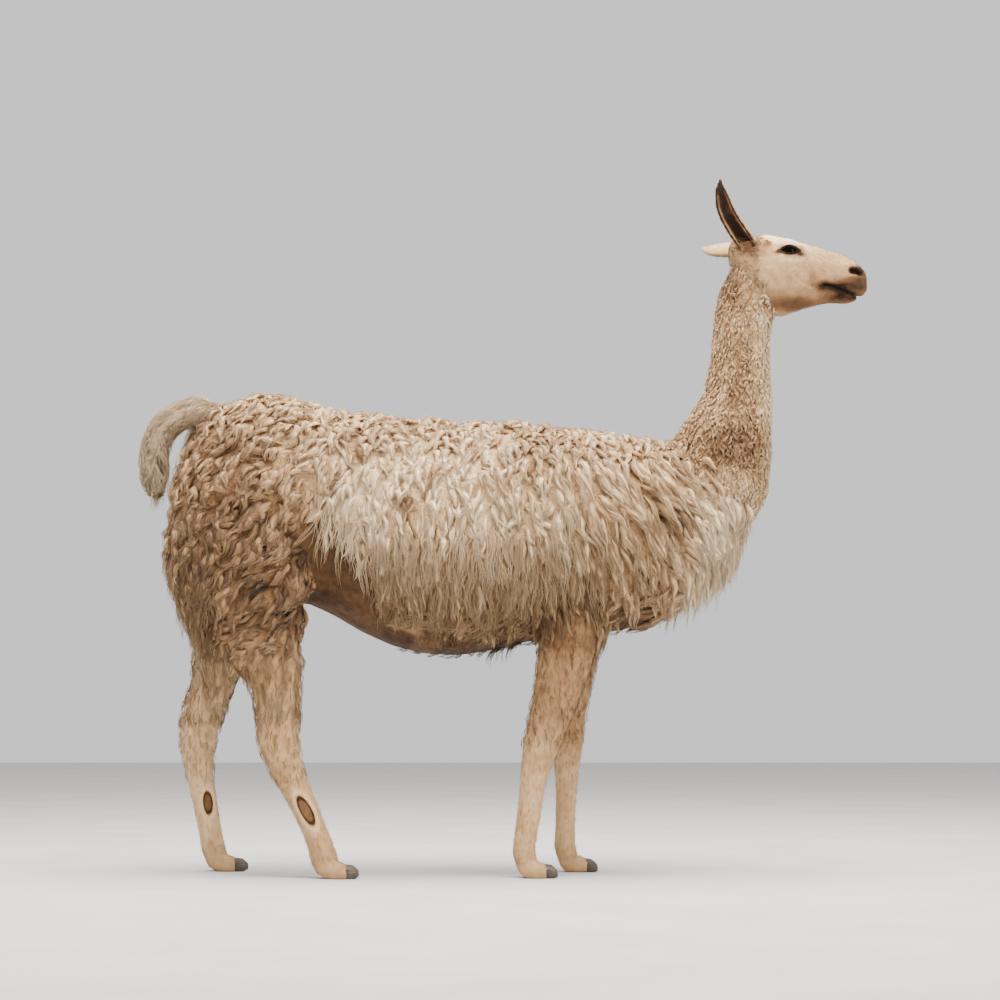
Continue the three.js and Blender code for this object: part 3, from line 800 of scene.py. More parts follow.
EAR_OPEN = {-1: unit(np.array([-0.35, -1, 0.1])), 1: unit(np.array([0.55, 0.35, -0.75]))}


def pulled(tone, goal, share):
    """A tone moved by a share of the way to another."""
    return tone + (goal - tone) * share


def body_tone(tone, points, normals, parts):
    """Adds the bare belly, darkened both as its short hair's own brown and as painted shade under the
    body, the pale inner sides of the hind legs, the glands and the spots.
    """
    # The bare belly's dark brown is its short hair's own colour and painted shade under the body.
    tone = pulled(tone, BARE_HAIR_AND_SHADE_TONE, bare_belly(points, normals, 10) * is_part(parts, "trunk"))
    inner = soft_step(0.0, 0.5, -normals[:, 1] * np.sign(points[:, 1]))
    tone = pulled(tone, 0.24, 0.8 * inner * is_part(parts, "thigh", "shank", "hind_cannon"))
    edge = gland_at(points)
    tone = pulled(tone, 0.1, 0.6 * np.exp(-((edge - 1.35) / 0.2) ** 2))
    tone = pulled(tone, 0.80 + 0.2 * soft_step(0.6, 0.85, edge), soft_step(1.08, 0.96, edge))
    on_body = ~is_part(parts, "head", "lower_jaw", "ear")
    for x, z, radius in SPOTS:
        for side in (-1, 1):  # the left side's spots are set further back
            spot = at(x - 35 * (side > 0), 0, z + 12 * (side > 0))
            away = np.linalg.norm((points - spot)[:, [0, 2]], axis=1)
            here = (points[:, 1] * side > 0.03) & on_body
            tone = pulled(tone, 0.98, 0.85 * here * np.exp(-(away / (2.0 * radius * MM)) ** 2))
    return tone


def head_tone(tone, points, normals, parts):
    """Adds the dark rims of the eyes, painted shade in the nostrils and in the parting of the mouth, and
    painted shade in the hollows of the ears.
    """
    x, y, z = measured(points)
    on_head = is_part(parts, "head", "lower_jaw", "ear")
    outside = on_head * soft_step(8, 16, np.abs(y))
    # Painted shade in the slit of the nostril.
    dark = soft_step(14 * MM, 6 * MM, far_from_line(points, NOSTRIL_LINE))
    tone = pulled(tone, 1.0, dark * outside)
    # Painted shade in the parting of the mouth: sharp under the upper lip, fading down over the lower
    # lip.
    outside = np.maximum(outside, on_head * soft_step(905, 925, x))
    line_z = np.interp(points[:, 0], [p[0] for p in MOUTH_LINE], [p[2] for p in MOUTH_LINE])
    fade = np.where(points[:, 2] < line_z, 15 * MM, 6 * MM) * soft_step(815, 860, x)
    dark = soft_step(fade + 4 * MM, 0.3 * fade + 1 * MM, far_from_line(points, MOUTH_LINE))
    tone = pulled(tone, 1.0, dark * outside)
    for side, centre in EYE_CENTRE.items():
        reach = points - centre
        close = (np.linalg.norm(reach, axis=1) < 0.06) & (reach[:, 1] * side > 0) & on_head
        edge = lid_edge(reach[:, 0] * 0.88, reach[:, 2])
        tone = pulled(tone, 1.0, soft_step(7.0 * MM, 3.0 * MM, edge) * close)
    # Painted shade in the hollow of each ear, darker low in the near ear.
    for side, open_way in EAR_OPEN.items():
        here = is_part(parts, "ear") & (np.sign(y) == side)
        facing = normals @ open_way
        height = soft_step(1720, 1600, z) if side < 0 else 0.5
        shade = 0.96 + 0.08 * height + 0.10 * cloud(points, 0.03, seed=5)
        tone = pulled(tone, shade, soft_step(0.15, 0.85, facing) * here)
        tone = pulled(tone, 0.20, soft_step(0.1, -0.5, facing) * here * 0.7)
    return tone


def tone_at(points, normals, parts):
    """The tone of the wool or hair rooted at each point."""
    tone = np.full(len(points), PLAIN_TONE)
    for part, value in SHORT_TONES.items():
        tone[is_part(parts, part)] = value
    on_head = is_part(parts, "head", "lower_jaw", "ear")
    for table, where in ((MARKINGS, ~on_head), (FACE_MARKINGS, on_head)):
        for centre, radii, goal, strength in table.values():
            pull = strength * bump_at(mirror(points), at(*centre), np.array(radii) * MM) * where
            tone = pulled(tone, goal, np.clip(pull * 1.25, 0, 1))
    tone = body_tone(tone, points, normals, parts)
    return head_tone(tone, points, normals, parts)


skin_tone = tone_at(skin_points, skin_normals, skin_part)
# Painted shade in the cracks between the felted pads: the hide is darker where the pads are low.
skin_tone += 0.14 * woolly * soft_step(0.35, 0.0, felt(skin_points))
skin_lie = lie_at(skin_points, skin_normals, skin_part)


for name, values in (("root", skin_points), ("tone", skin_tone), ("lie", skin_lie), ("woolly", woolly)):
    write_attribute(hide.data, name, values)
report("hide marked")

# %% [markdown]
# ## Where the locks are rooted
# Roots are strewn over the triangles by area, and then one root is kept for each small cube of
# space, which spreads them as evenly as a plucked skin shows them.

# %% Roots
def strewn(chosen, gap, seed):
    """Roots on the chosen triangles, about gap metres apart."""
    rng = np.random.default_rng(seed)
    faces = np.flatnonzero(chosen)
    a, b, c = (skin_points[skin_triangles[faces, k]] for k in range(3))
    area = np.linalg.norm(np.cross(b - a, c - a), axis=1) / 2
    count = int(area.sum() / gap**2 * 5) + 1
    face = rng.choice(len(faces), count, p=area / area.sum())
    u, v = rng.random(count), rng.random(count)
    u, v = np.where(u + v > 1, 1 - u, u), np.where(u + v > 1, 1 - v, v)
    share = np.stack([1 - u - v, u, v], 1)
    spots = np.einsum("nk,nkd->nd", share, skin_points[skin_triangles[faces[face]]])
    cells = np.floor(spots / (gap * 1.12)).astype(np.int64)
    one = np.unique(cells @ np.array([1, 4096, 16777216]), return_index=True)[1]
    return spots[one], faces[face[one]], share[one]


FACE_MIDDLE = skin_points[skin_triangles].mean(axis=1)
FACE_PART = skin_part[skin_triangles[:, 0]]
FACE_NORMAL = unit(skin_normals[skin_triangles].sum(axis=1))

# %% [markdown]
# ## How a lock grows
# Each lock has one spine. It starts under the hide, steps along the lie, keeps its height over
# the hide, and once the hide turns under, it hangs straight down.

# %% Spines
SPINE = 10
REACH = 1.15  # spines run on a little past the lock's tip, for the longest strands
TURNED_UNDER = -0.45  # how far down the hide faces where a lock comes loose from it
HANGING_BELOW = 0.9  # only locks rooted under this height come loose


def spines(roots, parts, length, lift, stray, curl, turns, tip, free, gather, rng):
    """Walks every spine over the hide at once. Gives places, sideways and outward directions."""
    count = len(roots)
    places = np.empty((count, SPINE, 3))
    outward = np.empty((count, SPINE, 3))
    sideways = np.empty((count, SPINE, 3))
    here = roots.copy()
    stray = rng.normal(0, 1, count) * np.radians(stray)
    bend = rng.normal(0, 0.35, count) * np.radians(30)
    phase = rng.random(count) * 2 * math.pi
    loose = np.zeros(count, bool)
    step = length * REACH / (SPINE - 1)
    along = np.zeros((count, 3))
    pad_middle = felted(roots)[1]
    for n in range(SPINE):
        t = n / (SPINE - 1) * REACH
        found = [skin_tree.find_nearest(p) for p in here]
        surface = np.array([f[0] for f in found])
        faces = np.array([f[2] for f in found])
        fresh = FACE_NORMAL[faces]
        if n == 0:
            normal = fresh
        turned = (fresh[:, 2] < TURNED_UNDER) & (normal[:, 2] > -0.6) & (roots[:, 2] < HANGING_BELOW)
        loose |= (turned & (n > 1)) | (free and n > 2)
        normal = np.where(loose[:, None], normal, unit(0.5 * normal + 0.5 * fresh))
        flat = lie_at(surface, normal, parts)
        beside = np.cross(normal, flat)
        if n == 0:  # the locks of one pad lean together, and meet below it
            toward = pad_middle + flat * (0.75 * length)[:, None] - roots
            ahead = np.maximum(np.sum(toward * flat, axis=1), 0.3 * length)
            lean = gather * np.clip(np.arctan2(np.sum(toward * beside, axis=1), ahead), -0.8, 0.8)
        angle = lean * 1.1 + stray * (0.5 + 0.5 * t) + bend * (t - 0.5) * 2
        flat = flat * np.cos(angle)[:, None] + beside * np.sin(angle)[:, None]
        along = np.where(loose[:, None], unit(0.62 * along + [0, 0, -0.38]), flat)
        rise = np.interp(t, [0, 0.12, 0.4, 0.75, 1.15], [-0.25, 0.30, 0.88, 0.6 * tip + 0.4, tip])
        base = np.where(loose[:, None], here, surface)
        height = np.where(loose, 0.0, 1.0)[:, None] * normal * (lift * rise)[:, None]
        side = unit(np.cross(normal, along))
        wave = 2 * math.pi * turns * t + phase
        swing = side * (curl * np.sin(wave) * min(t * 3, 1))[:, None]
        swing = swing + normal * (0.45 * curl * np.cos(wave) * min(t * 3, 1))[:, None]
        if n:
            held = spot_before[loose_before]
            base[loose_before] = held + along[loose_before] * (step[loose_before] * 0.8)[:, None]
            height[loose_before] = 0
        spot = base + height
        places[:, n] = spot + swing
        outward[:, n] = normal
        sideways[:, n] = side
        spot_before = spot
        loose_before = loose.copy()
        here = np.where(loose[:, None], spot, surface) + along * step[:, None]
    return places, sideways, outward


def along_spine(array, t):
    """Reads a spine's array at any t, between its steps."""
    place = np.clip(t / REACH * (SPINE - 1), 0, SPINE - 1.001)
    low = place.astype(int)
    share = (place - low)[..., None]
    rows = np.arange(len(array))[:, None]
    return array[rows, low] * (1 - share) + array[rows, low + 1] * share


# %% [markdown]
# ## Tubes of hair
# Hung round the spine are one broad lock and some fine strands, every one a closed tube that
# narrows to a tip. A `Coat` gathers the tubes of one piece, with the values that its finish reads:
# where each tube is rooted, its tone, and how far along and across it a point is.

# %% Tubes
def tubes(centres, side, out, width, thick, sides):
    """Closed tubes round rows of centres: (count, rings, 3), pointed at the last one."""
    count, rings = centres.shape[:2]
    turn = (np.arange(sides) + 0.5 * (sides == 3)) * 2 * math.pi / sides
    ring = (np.cos(turn)[None, None, :, None] * (side * width[..., None])[:, :, None]
            + np.sin(turn)[None, None, :, None] * (out * thick[..., None])[:, :, None])
    body = centres[:, :-1, None] + ring[:, :-1]
    points = np.concatenate([body.reshape(count, -1, 3), centres[:, -1:]], 1)
    each = sides * (rings - 1) + 1
    rows = []
    for level in range(rings - 2):
        for k in range(sides):
            a, b = level * sides + k, level * sides + (k + 1) % sides
            rows += [(a, b, b + sides), (a, b + sides, a + sides)]
    for k in range(sides):
        rows.append(((rings - 2) * sides + k, (rings - 2) * sides + (k + 1) % sides, each - 1))
    for k in range(1, sides - 1):
        rows.append((0, k + 1, k))
    triangles = (np.array(rows)[None] + np.arange(count)[:, None, None] * each).reshape(-1, 3)
    across = np.append(np.tile(np.cos(turn) + 0.6 * np.sin(turn), rings - 1), 0.0)
    along = np.append(np.repeat(np.arange(rings - 1) / (rings - 1), sides), 1.0)
    return points.reshape(-1, 3), triangles, np.tile(across, count), np.tile(along, count), each


class Coat:
    """Gathers the tubes of one piece of coat until its mesh is made."""

    def __init__(self, name, slot="wool"):
        self.name, self.slot = name, slot
        self.parts, self.count = [], 0

    def add(self, tube, root, tone, shade, uv):
        points, triangles, across, along, each = tube
        spread = (np.repeat(value, each, axis=0) for value in (root, tone, shade, uv))
        self.parts.append((points, triangles + self.count, across, along, *spread))
        self.count += len(points)

    def finish(self):
        """Makes the piece. Each tube has its own small patch of the flat map, at its root's place."""
        points, triangles, across, along, root, tone, shade, uv = (
            np.concatenate([part[k] for part in self.parts]) for k in range(8))
        points[:, 2] = np.maximum(points[:, 2], 0.001)
        mesh = mesh_from(self.name, points, triangles)
        for key, values in (("root", root), ("tone", tone), ("shade", shade),
                            ("across", across), ("along", along)):
            write_attribute(mesh, key, values)
        spot = uv + 0.003 * np.stack([across / 2.6, along - 0.5], 1)
        layer = mesh.uv_layers.new(name="OFBake")
        layer.data.foreach_set("uv", spot[triangles.ravel()].astype(np.float32).ravel())
        report(self.name, len(triangles), "triangles")
        return piece_from(self.name, mesh)


# %% [markdown]
# ## Growing one region
# `grow` strews the roots of one region and gives each a lock and its strands. `stray` is how far
# they turn from the lie, in degrees, `gather` how much the locks of one pad lean together, `tip`
# how high the tip stands for each unit of lift, and `free` strands hang loose from the start.

# %% Grow
LOCK_SIDES = 4
STRAND_SIDES = 3


def grow(coat, chosen, gap, length, lift, width, stray=14, curl=3.0, turns=1.5, strands=5,
         lock=True, fine=1.0, flat=0.45, tip=0.6, rings=7, free=False, gather=0.0, pale=0.02,
         seed=0):
    """Grows locks over the chosen triangles. Lengths in millimetres; may be functions of roots."""
    rng = np.random.default_rng(seed)
    thin_out = 1.0
    roots, faces, share = strewn(chosen, gap * MM * thin_out, seed)
    parts = FACE_PART[faces]
    count = len(roots)
    size = (length(roots) if callable(length) else np.full(count, float(length))) * MM
    size *= rng.uniform(0.7, 1.25, count)
    places, side, out = spines(roots, parts, size, np.full(count, lift * MM), stray,
                               curl * MM * rng.uniform(0.5, 1.3, count), turns, tip, free, gather, rng)
    tone = tone_at(roots, FACE_NORMAL[faces], parts) + rng.normal(0, 0.035, count)
    # The same painted shade in the cracks between the felted pads.
    tone += 0.14 * soft_step(0.35, 0.0, felt(roots))
    uv = np.einsum("nk,nkd->nd", share, hide_uv[faces])
    broad = width * MM * rng.uniform(0.55, 1.4, count) * thin_out**0.7
    if lock:
        steps = np.linspace(0, 1, rings)
        t = steps[None] * rng.uniform(0.9, 1.0, count)[:, None]
        shape = np.interp(steps, [0, 0.3, 0.65, 0.85, 1], [0.55, 1.0, 0.8, 0.42, 0])
        roll = rng.normal(0, 0.35, count)[:, None] + rng.normal(0, 0.5, count)[:, None] * t
        s, o = along_spine(side, t), along_spine(out, t)
        s, o = (s * np.cos(roll)[..., None] + o * np.sin(roll)[..., None],
                o * np.cos(roll)[..., None] - s * np.sin(roll)[..., None])
        half = broad[:, None] * shape / 2
        tube = tubes(along_spine(places, t), s, o, half, half * flat, LOCK_SIDES)
        coat.add(tube, roots, tone, rng.random(count), uv)
    for _ in range(strands):
        strand_rings = min(rings, 5) if not free else rings
        start = rng.uniform(0.0, 0.22, count)[:, None]
        stop = rng.uniform(0.75, 1.13, count)[:, None]
        steps = np.linspace(0, 1, strand_rings)[None]
        t = start + (stop - start) * steps
        s, o = along_spine(side, t), along_spine(out, t)
        aside = rng.uniform(-0.75, 0.75, count)[:, None] * broad[:, None]
        above = rng.uniform(0.0, 0.55, count)[:, None] * broad[:, None]
        wobble = rng.normal(0, 0.14, (count, strand_rings)) * broad[:, None]
        closing = 1 - 0.55 * steps  # the strands of a lock come together at its tip
        centres = along_spine(places, t) + s * (aside * closing + wobble)[..., None]
        centres = centres + o * (above * np.sin(math.pi * np.clip(steps * 0.8 + 0.1, 0, 1)))[..., None]
        shape = np.interp(steps[0], [0, 0.4, 0.8, 1], [0.8, 1.0, 0.7, 0])
        half = fine * MM * rng.uniform(0.7, 1.4, count)[:, None] * shape
        tube = tubes(centres, s, o, half, half * 0.8, STRAND_SIDES)
        coat.add(tube, roots, tone - pale, rng.random(count), uv)
    return count


# %% [markdown]
# ## The coat, region by region
# The regions differ as they do on the animal: felted pads on the back and rump, where the locks
# stray far from the lie; long hanging locks on the flank; ropes on the shoulder; short curls on
# the neck; and close hair on the legs, belly and face. Each region is a choice of the hide's
# triangles, by the part they belong to, where they are and which way they face.

# %% Where the regions are
x, _, z = measured(FACE_MIDDLE)
up = FACE_NORMAL[:, 2]
trunk = is_part(FACE_PART, "trunk")
thigh = is_part(FACE_PART, "thigh")
skull = is_part(FACE_PART, "head", "lower_jaw")
lower_leg = is_part(FACE_PART, "hind_cannon", "knee", "fore_cannon")
bare_face = bare_belly(FACE_MIDDLE, FACE_NORMAL) > 0.5
wool_trunk = trunk & (bare_belly(FACE_MIDDLE, FACE_NORMAL, 55) < 0.5)
hind = x < -430
front = x > 130
top = z > np.interp(x, [-800, -500, 0, 500], [1090, 1090, 1060, 1040])
ragged = z + 34 * cloud(FACE_MIDDLE, 0.05, seed=8)
shank = is_part(FACE_PART, "shank") | (thigh & (ragged <= 575))
rump = (wool_trunk & hind & (~top | (x <= -500))) | (thigh & (z > 960))
hem = wool_trunk & (x > -475) & (x < 250) & (z < np.interp(x, [-420, -340], [960, 870])) & (z > 610)
hem |= trunk & (x > -190) & (x < 260) & (up > -0.8) & (z < 660)
fringe = (trunk & (x > 470) & (z < 980) & (up < 0.2)) | (thigh & (x < -690) & (ragged > 545))
shins = (lower_leg | (is_part(FACE_PART, "foot") & (z > 35))) & (gland_at(FACE_MIDDLE) > 1.5)
eye_gap = np.min([np.linalg.norm(FACE_MIDDLE - c, axis=1) for c in EYE_CENTRE.values()], axis=0)
bald = (eye_gap < 0.036) | near([NOSTRIL], 0.018) | near(MOUTH, 0.011) | ((x > 880) & (z < 1515))
poll = skull & (x + 50 * cloud(FACE_MIDDLE, 0.02, seed=2) < 668) & (z > 1480)
report("wool on", int(wool_trunk.sum()), "triangles of the trunk")

# %% [markdown]
# ## The wool
# Each region is grown into its own piece, by the measures that tell its wool from the next:
# how far apart the roots are, how long the locks, how high they stand and how wide.

# %% Wool
coats = {}


def cover(name, chosen, slot="wool", **plan):
    """Grows one region into the coat piece of that name."""
    coat = coats.setdefault(name, Coat(name, slot))
    report(name, grow(coat, chosen, **plan), "locks")


def by_height(heights, lengths):
    """A lock's length in millimetres from its root's height in metres."""
    return lambda roots: np.interp(roots[:, 2], heights, lengths)


cover("coat_back", wool_trunk & top & (x > -500), seed=11, gap=22, length=60, lift=12, width=19,
      stray=34, curl=5.5, turns=1.4, strands=4, flat=0.4, tip=0.05, fine=0.9, gather=0.9)
cover("coat_flank", wool_trunk & ~top & ~hind & ~front, seed=12, gap=21.6,
      length=by_height([0.57, 0.64, 0.75, 0.95, 1.06], [34, 74, 96, 84, 62]), lift=11, width=15,
      stray=11, curl=4, strands=4, flat=0.4, tip=0.3, fine=0.85, gather=1.0)
cover("coat_shoulder", wool_trunk & ~top & front, seed=13, gap=22.5,
      length=by_height([0.57, 0.65, 0.8, 1.05], [40, 80, 118, 104]), lift=13, width=16,
      stray=8, curl=4, flat=0.5, tip=0.4, fine=0.85, gather=1.0)
cover("coat_rump", rump, seed=14, gap=22.5, length=62, lift=11, width=18,
      stray=22, curl=4.5, turns=1.4, strands=4, flat=0.4, tip=0.1, fine=0.9, gather=1.0)
cover("coat_thigh", thigh & (z <= 960) & (ragged > 545), seed=15, gap=22,
      length=by_height([0.54, 0.65, 0.95], [58, 72, 70]), lift=10, width=16,
      stray=16, curl=4, flat=0.4, tip=0.3, fine=0.85, gather=1.0)
cover("coat_neck", is_part(FACE_PART, "neck"), seed=16, gap=9.8, length=23, lift=6.5, width=6.4,
      stray=36, curl=2.2, turns=1.0, strands=1, fine=0.7, flat=0.5, tip=0.5, rings=5)
cover("coat_hem", hem, seed=17, gap=22, length=by_height([0.57, 0.64, 0.8], [34, 80, 140]),
      lift=14, width=18, stray=9, curl=6, turns=1.2, strands=6, lock=False, fine=0.8, tip=0.9)
cover("coat_fringe", fringe, seed=18, gap=25, length=122, lift=16, width=19,
      stray=10, curl=6, turns=1.2, lock=False, fine=0.95, tip=1.3, free=True)

# %% [markdown]
# ## Short hair, and the tail
# Short coats have no broad locks, only strands lying close. The tail's strands are long, and
# those of its lower half hang free.

# %% Short hair and tail
SHORT = {"slot": "short_hair", "lock": False}
cover("coat_legs", shank & (z > 400), **SHORT, seed=30, gap=14, length=46, lift=5, width=10,
      curl=2.2, strands=3, fine=0.75)
cover("coat_legs", shank & (z <= 400), **SHORT, seed=31, gap=14, length=26, lift=2.6, width=9,
      stray=16, curl=1.2, strands=2, fine=0.7, tip=0.5, rings=4)
cover("coat_legs", is_part(FACE_PART, "forearm"), **SHORT, seed=32, gap=13, length=25, lift=3.2,
      width=9, stray=16, curl=1.6, strands=2, fine=0.7, tip=0.5, rings=4)
cover("coat_legs", shins, **SHORT, seed=33, gap=12.5, length=14, lift=1.2, width=5, stray=10,
      curl=0.5, strands=1, fine=0.5, rings=4, tip=0.4, pale=0.12)
cover("coat_belly", trunk & bare_face & (up < -0.3) & (x > -230), **SHORT, seed=35, gap=34,
      length=32, lift=5, width=12, stray=20, strands=4, fine=0.6, tip=1.2)
cover("coat_belly", trunk & (up < -0.45) & (x > -60) & (x < 330), **SHORT, seed=45, gap=60,
      length=46, lift=4, width=9, stray=20, strands=4, fine=0.6, free=True, rings=5)
cover("coat_belly", trunk & (up < -0.3) & (x > 10) & (x < 80), **SHORT, seed=47, gap=34,
      length=84, lift=4, width=10, stray=24, curl=5, fine=0.8, free=True, rings=6)
on_tail = is_part(FACE_PART, "tail")
cover("coat_tail", on_tail, seed=36, gap=10, length=84, lift=18, width=14, stray=18, curl=4.5,
      turns=1.1, lock=False, fine=0.8, tip=1.35, rings=6)
cover("coat_tail", on_tail & (z < 1060), seed=46, gap=13, length=84, lift=12, width=12, stray=9,
      curl=4, turns=1.0, lock=False, fine=0.8, tip=1.0, rings=6, free=True)
cover("coat_face", skull & ~bald, **SHORT, seed=37, gap=9.5, length=9, lift=1.0, width=4,
      curl=0.3, strands=1, fine=0.4, rings=4, tip=0.3, pale=0.14)
cover("coat_face", poll, **SHORT, seed=38, gap=12, length=22, lift=4, width=7, stray=26,
      curl=1.5, strands=3, fine=0.75)
cover("coat_face", is_part(FACE_PART, "ear"), **SHORT, seed=39, gap=10, length=12, lift=0.8,
      width=4, stray=12, curl=0.3, strands=1, fine=0.45, rings=4, pale=0.10)

# %% [markdown]
# ## Lashes
# A llama's upper lid has dark lashes, which shade the eye. They start along the lid's edge and
# reach outward, bowing a little down.

# %% Lashes
LASHES = 26
LASH_RINGS = 6
DOWN = np.array([0.0, 0.0, -1.0])
for side, centre in EYE_CENTRE.items():
    forward = np.linspace(-0.86, 0.9, LASHES) * LID_HALF_LENGTH
    above = LID_ABOVE * lid_bow(forward) + 0.5 * MM
    outward = np.sqrt(np.maximum((EYE_RADIUS + 2.2 * MM) ** 2 - forward**2 - above**2, 0))
    start = centre + np.stack([forward, side * outward, above], 1)
    rng = np.random.default_rng(5)
    length = rng.uniform(9, 14, LASHES)[:, None, None] * MM
    t = np.linspace(0, 1, LASH_RINGS)[None, :, None]
    away = unit(np.stack([forward * 18, np.full(LASHES, side * 1.0), np.full(LASHES, 0.1)], 1))
    centres = start[:, None] + length * (away[:, None] * t * 0.8 + DOWN * (0.45 * t - 0.30 * t * t))
    sideways = np.broadcast_to([1.0, 0, 0], centres.shape)
    half = 0.6 * MM * np.linspace(1, 0.2, LASH_RINGS)[None] * np.ones((LASHES, 1))
    lashes = tubes(centres, sideways, np.broadcast_to(-DOWN, centres.shape), half, half,
                   STRAND_SIDES)
    coats["coat_face"].add(lashes, start, np.full(LASHES, 1.5), rng.random(LASHES),
                           np.full((LASHES, 2), 0.5))
pieces = {coat.name: (coat.finish(), coat.slot) for coat in coats.values()}

# %% [markdown]
# ## Eyes
# An eyeball is a wet, dark ball. A llama's iris is nearly black-brown and its pupil lies level,
# so the ball carries the direction it looks in, for its colour to use.

# %% Eyes
eyes = {}
for side, node in ((-1, "eye_right"), (1, "eye_left")):
    points, triangles, looks = ball(EYE_CENTRE[side], EYE_RADIUS - 0.4 * MM)
    eyes[node] = piece_from(node + "_ball", mesh_from(node + "_ball", points, triangles))
    write_attribute(eyes[node].data, "look", looks)
report("eyes made")

# %% [markdown]
# ## Toenails
# Each toe ends in one curved nail. The solid's facets are melted by a fine remesh and averaged,
# as wear smooths a nail.

# %% Nails
nails = {}
for node in sorted(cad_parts):
    if node.startswith("nail_"):
        points, triangles = swollen_copy(node)
        nail = piece_from(node + "_horn", mesh_from(node + "_horn", points, triangles))
        use_modifier(nail, "REMESH", mode="VOXEL", voxel_size=1.6 * MM, adaptivity=0.0)
        points, triangles = mesh_arrays(nail.data)
        points = blurred(points, edges_of(nail.data), 5)
        points[:, 2] = np.maximum(points[:, 2], 0.0)
        nail.data = mesh_from(node + "_horn", points, triangles)
        nails[node] = nail
report(len(nails), "nails made")

# %% [markdown]
# ## Small tools for colour and surface
# A finish is a tree of shader nodes. Each tool below adds one node to a tree, sets what it is
# given as a number, links what it is given as another node's output, and gives back its own.

# %% Shader tools
def group(name, inputs, outputs):
    tree = bpy.data.node_groups.new(name, "ShaderNodeTree")
    for label, kind in inputs:
        tree.interface.new_socket(label, in_out="INPUT", socket_type=kind)
    for label, kind in outputs:
        tree.interface.new_socket(label, in_out="OUTPUT", socket_type=kind)
    return tree, tree.nodes.new("NodeGroupInput").outputs, tree.nodes.new("NodeGroupOutput").inputs


def feed(tree, socket, value):
    """Sets a socket to a number, or links another node's output to it."""
    if isinstance(value, (int, float)):
        socket.default_value = value
    else:
        tree.links.new(value, socket)


def maths(tree, operation, *values, clamp=False):
    node = tree.nodes.new("ShaderNodeMath")
    node.operation = operation
    node.use_clamp = clamp
    for socket, value in zip(node.inputs, values):
        feed(tree, socket, value)
    return node.outputs[0]


def vector_maths(tree, operation, vector, other):
    node = tree.nodes.new("ShaderNodeVectorMath")
    node.operation = operation
    tree.links.new(vector, node.inputs[0])
    feed(tree, node.inputs["Scale"] if operation == "SCALE" else node.inputs[1], other)
    return node.outputs["Value"] if operation == "DOT_PRODUCT" else node.outputs["Vector"]


def noise(tree, vector, scale, detail=2.0, roughness=0.5, distortion=0.0):
    node = tree.nodes.new("ShaderNodeTexNoise")
    for name, value in (("Vector", vector), ("Scale", scale), ("Detail", detail),
                        ("Roughness", roughness), ("Distortion", distortion)):
        feed(tree, node.inputs[name], value)
    return node.outputs["Fac"]


def ramp(tree, value, stops):
    node = tree.nodes.new("ShaderNodeValToRGB")
    tree.links.new(value, node.inputs[0])
    keys = node.color_ramp.elements
    while len(keys) < len(stops):
        keys.new(0.5)
    for key, (place, colour) in zip(keys, stops):
        key.position = place
        key.color = (*colour, 1)
    return node.outputs["Color"]


def read(tree, name, output="Fac"):
    node = tree.nodes.new("ShaderNodeAttribute")
    node.attribute_name = name
    return node.outputs[output]


def use_group(tree, made, **links):
    node = tree.nodes.new("ShaderNodeGroup")
    node.node_tree = made
    for label, value in links.items():
        feed(tree, node.inputs[label], value)
    return node.outputs[0]


def material(name):
    made = bpy.data.materials.new(name)
    made.use_nodes = True
    tree = made.node_tree
    return made, tree, tree.nodes["Principled BSDF"].inputs


def bump(tree, height, strength, distance, shader):
    node = tree.nodes.new("ShaderNodeBump")
    for name, value in (("Height", height), ("Strength", strength), ("Distance", distance)):
        feed(tree, node.inputs[name], value)
    tree.links.new(node.outputs["Normal"], shader["Normal"])


# %% [markdown]
# ## Two shared groups
# The wool's colour and the streaks of single hairs are used by several finishes, so each is a
# group of nodes. Wool goes from cream to nearly black by way of tan, and two sizes of noise shift
# its tone, as no fleece is even. Streaks are noise too, read from a space that a finish stretches.

# %% Shared groups
WOOL_TONES = ((0.0, (0.95, 0.71, 0.44)), (0.22, (0.73, 0.48, 0.26)), (0.45, (0.47, 0.275, 0.13)),
              (0.68, (0.21, 0.105, 0.045)), (1.0, (0.022, 0.010, 0.005)))
wool_colour, given, result = group(
    "wool colour", [("Tone", "NodeSocketFloat"), ("Root", "NodeSocketVector"),
                    ("Shade", "NodeSocketFloat")], [("Color", "NodeSocketColor")])
broad_mottle = noise(wool_colour, given["Root"], 11, 3, 0.55)
small_mottle = noise(wool_colour, given["Root"], 55, 2, 0.5)
tone = maths(wool_colour, "MULTIPLY_ADD", broad_mottle, 0.34, given["Tone"])
tone = maths(wool_colour, "MULTIPLY_ADD", small_mottle, 0.24, tone)
tone = maths(wool_colour, "MULTIPLY_ADD", given["Shade"], 0.16, tone)
tone = maths(wool_colour, "SUBTRACT", tone, 0.37, clamp=True)
wool_colour.links.new(ramp(wool_colour, tone, WOOL_TONES), result["Color"])

streaks, given, result = group(
    "hair streaks", [("Vector", "NodeSocketVector"), ("Fineness", "NodeSocketFloat")],
    [("Streak", "NodeSocketFloat")])
scaled = vector_maths(streaks, "SCALE", given["Vector"], given["Fineness"])
coarse = noise(streaks, scaled, 1.0, 2, 0.6)
fine = noise(streaks, scaled, 2.7, 2, 0.6)
streak = maths(streaks, "MULTIPLY_ADD", coarse, 0.6, maths(streaks, "MULTIPLY", fine, 0.4))
streaks.links.new(streak, result["Streak"])
report("shared groups made")

# %% [markdown]
# ## Wool and hide
# Wool scatters light among its fibres, so it is rough, with a faint sheen. On a lock the streaks
# run along its length; on the hide they run along the lie, which is done by squeezing space in
# that direction before the noise reads it.

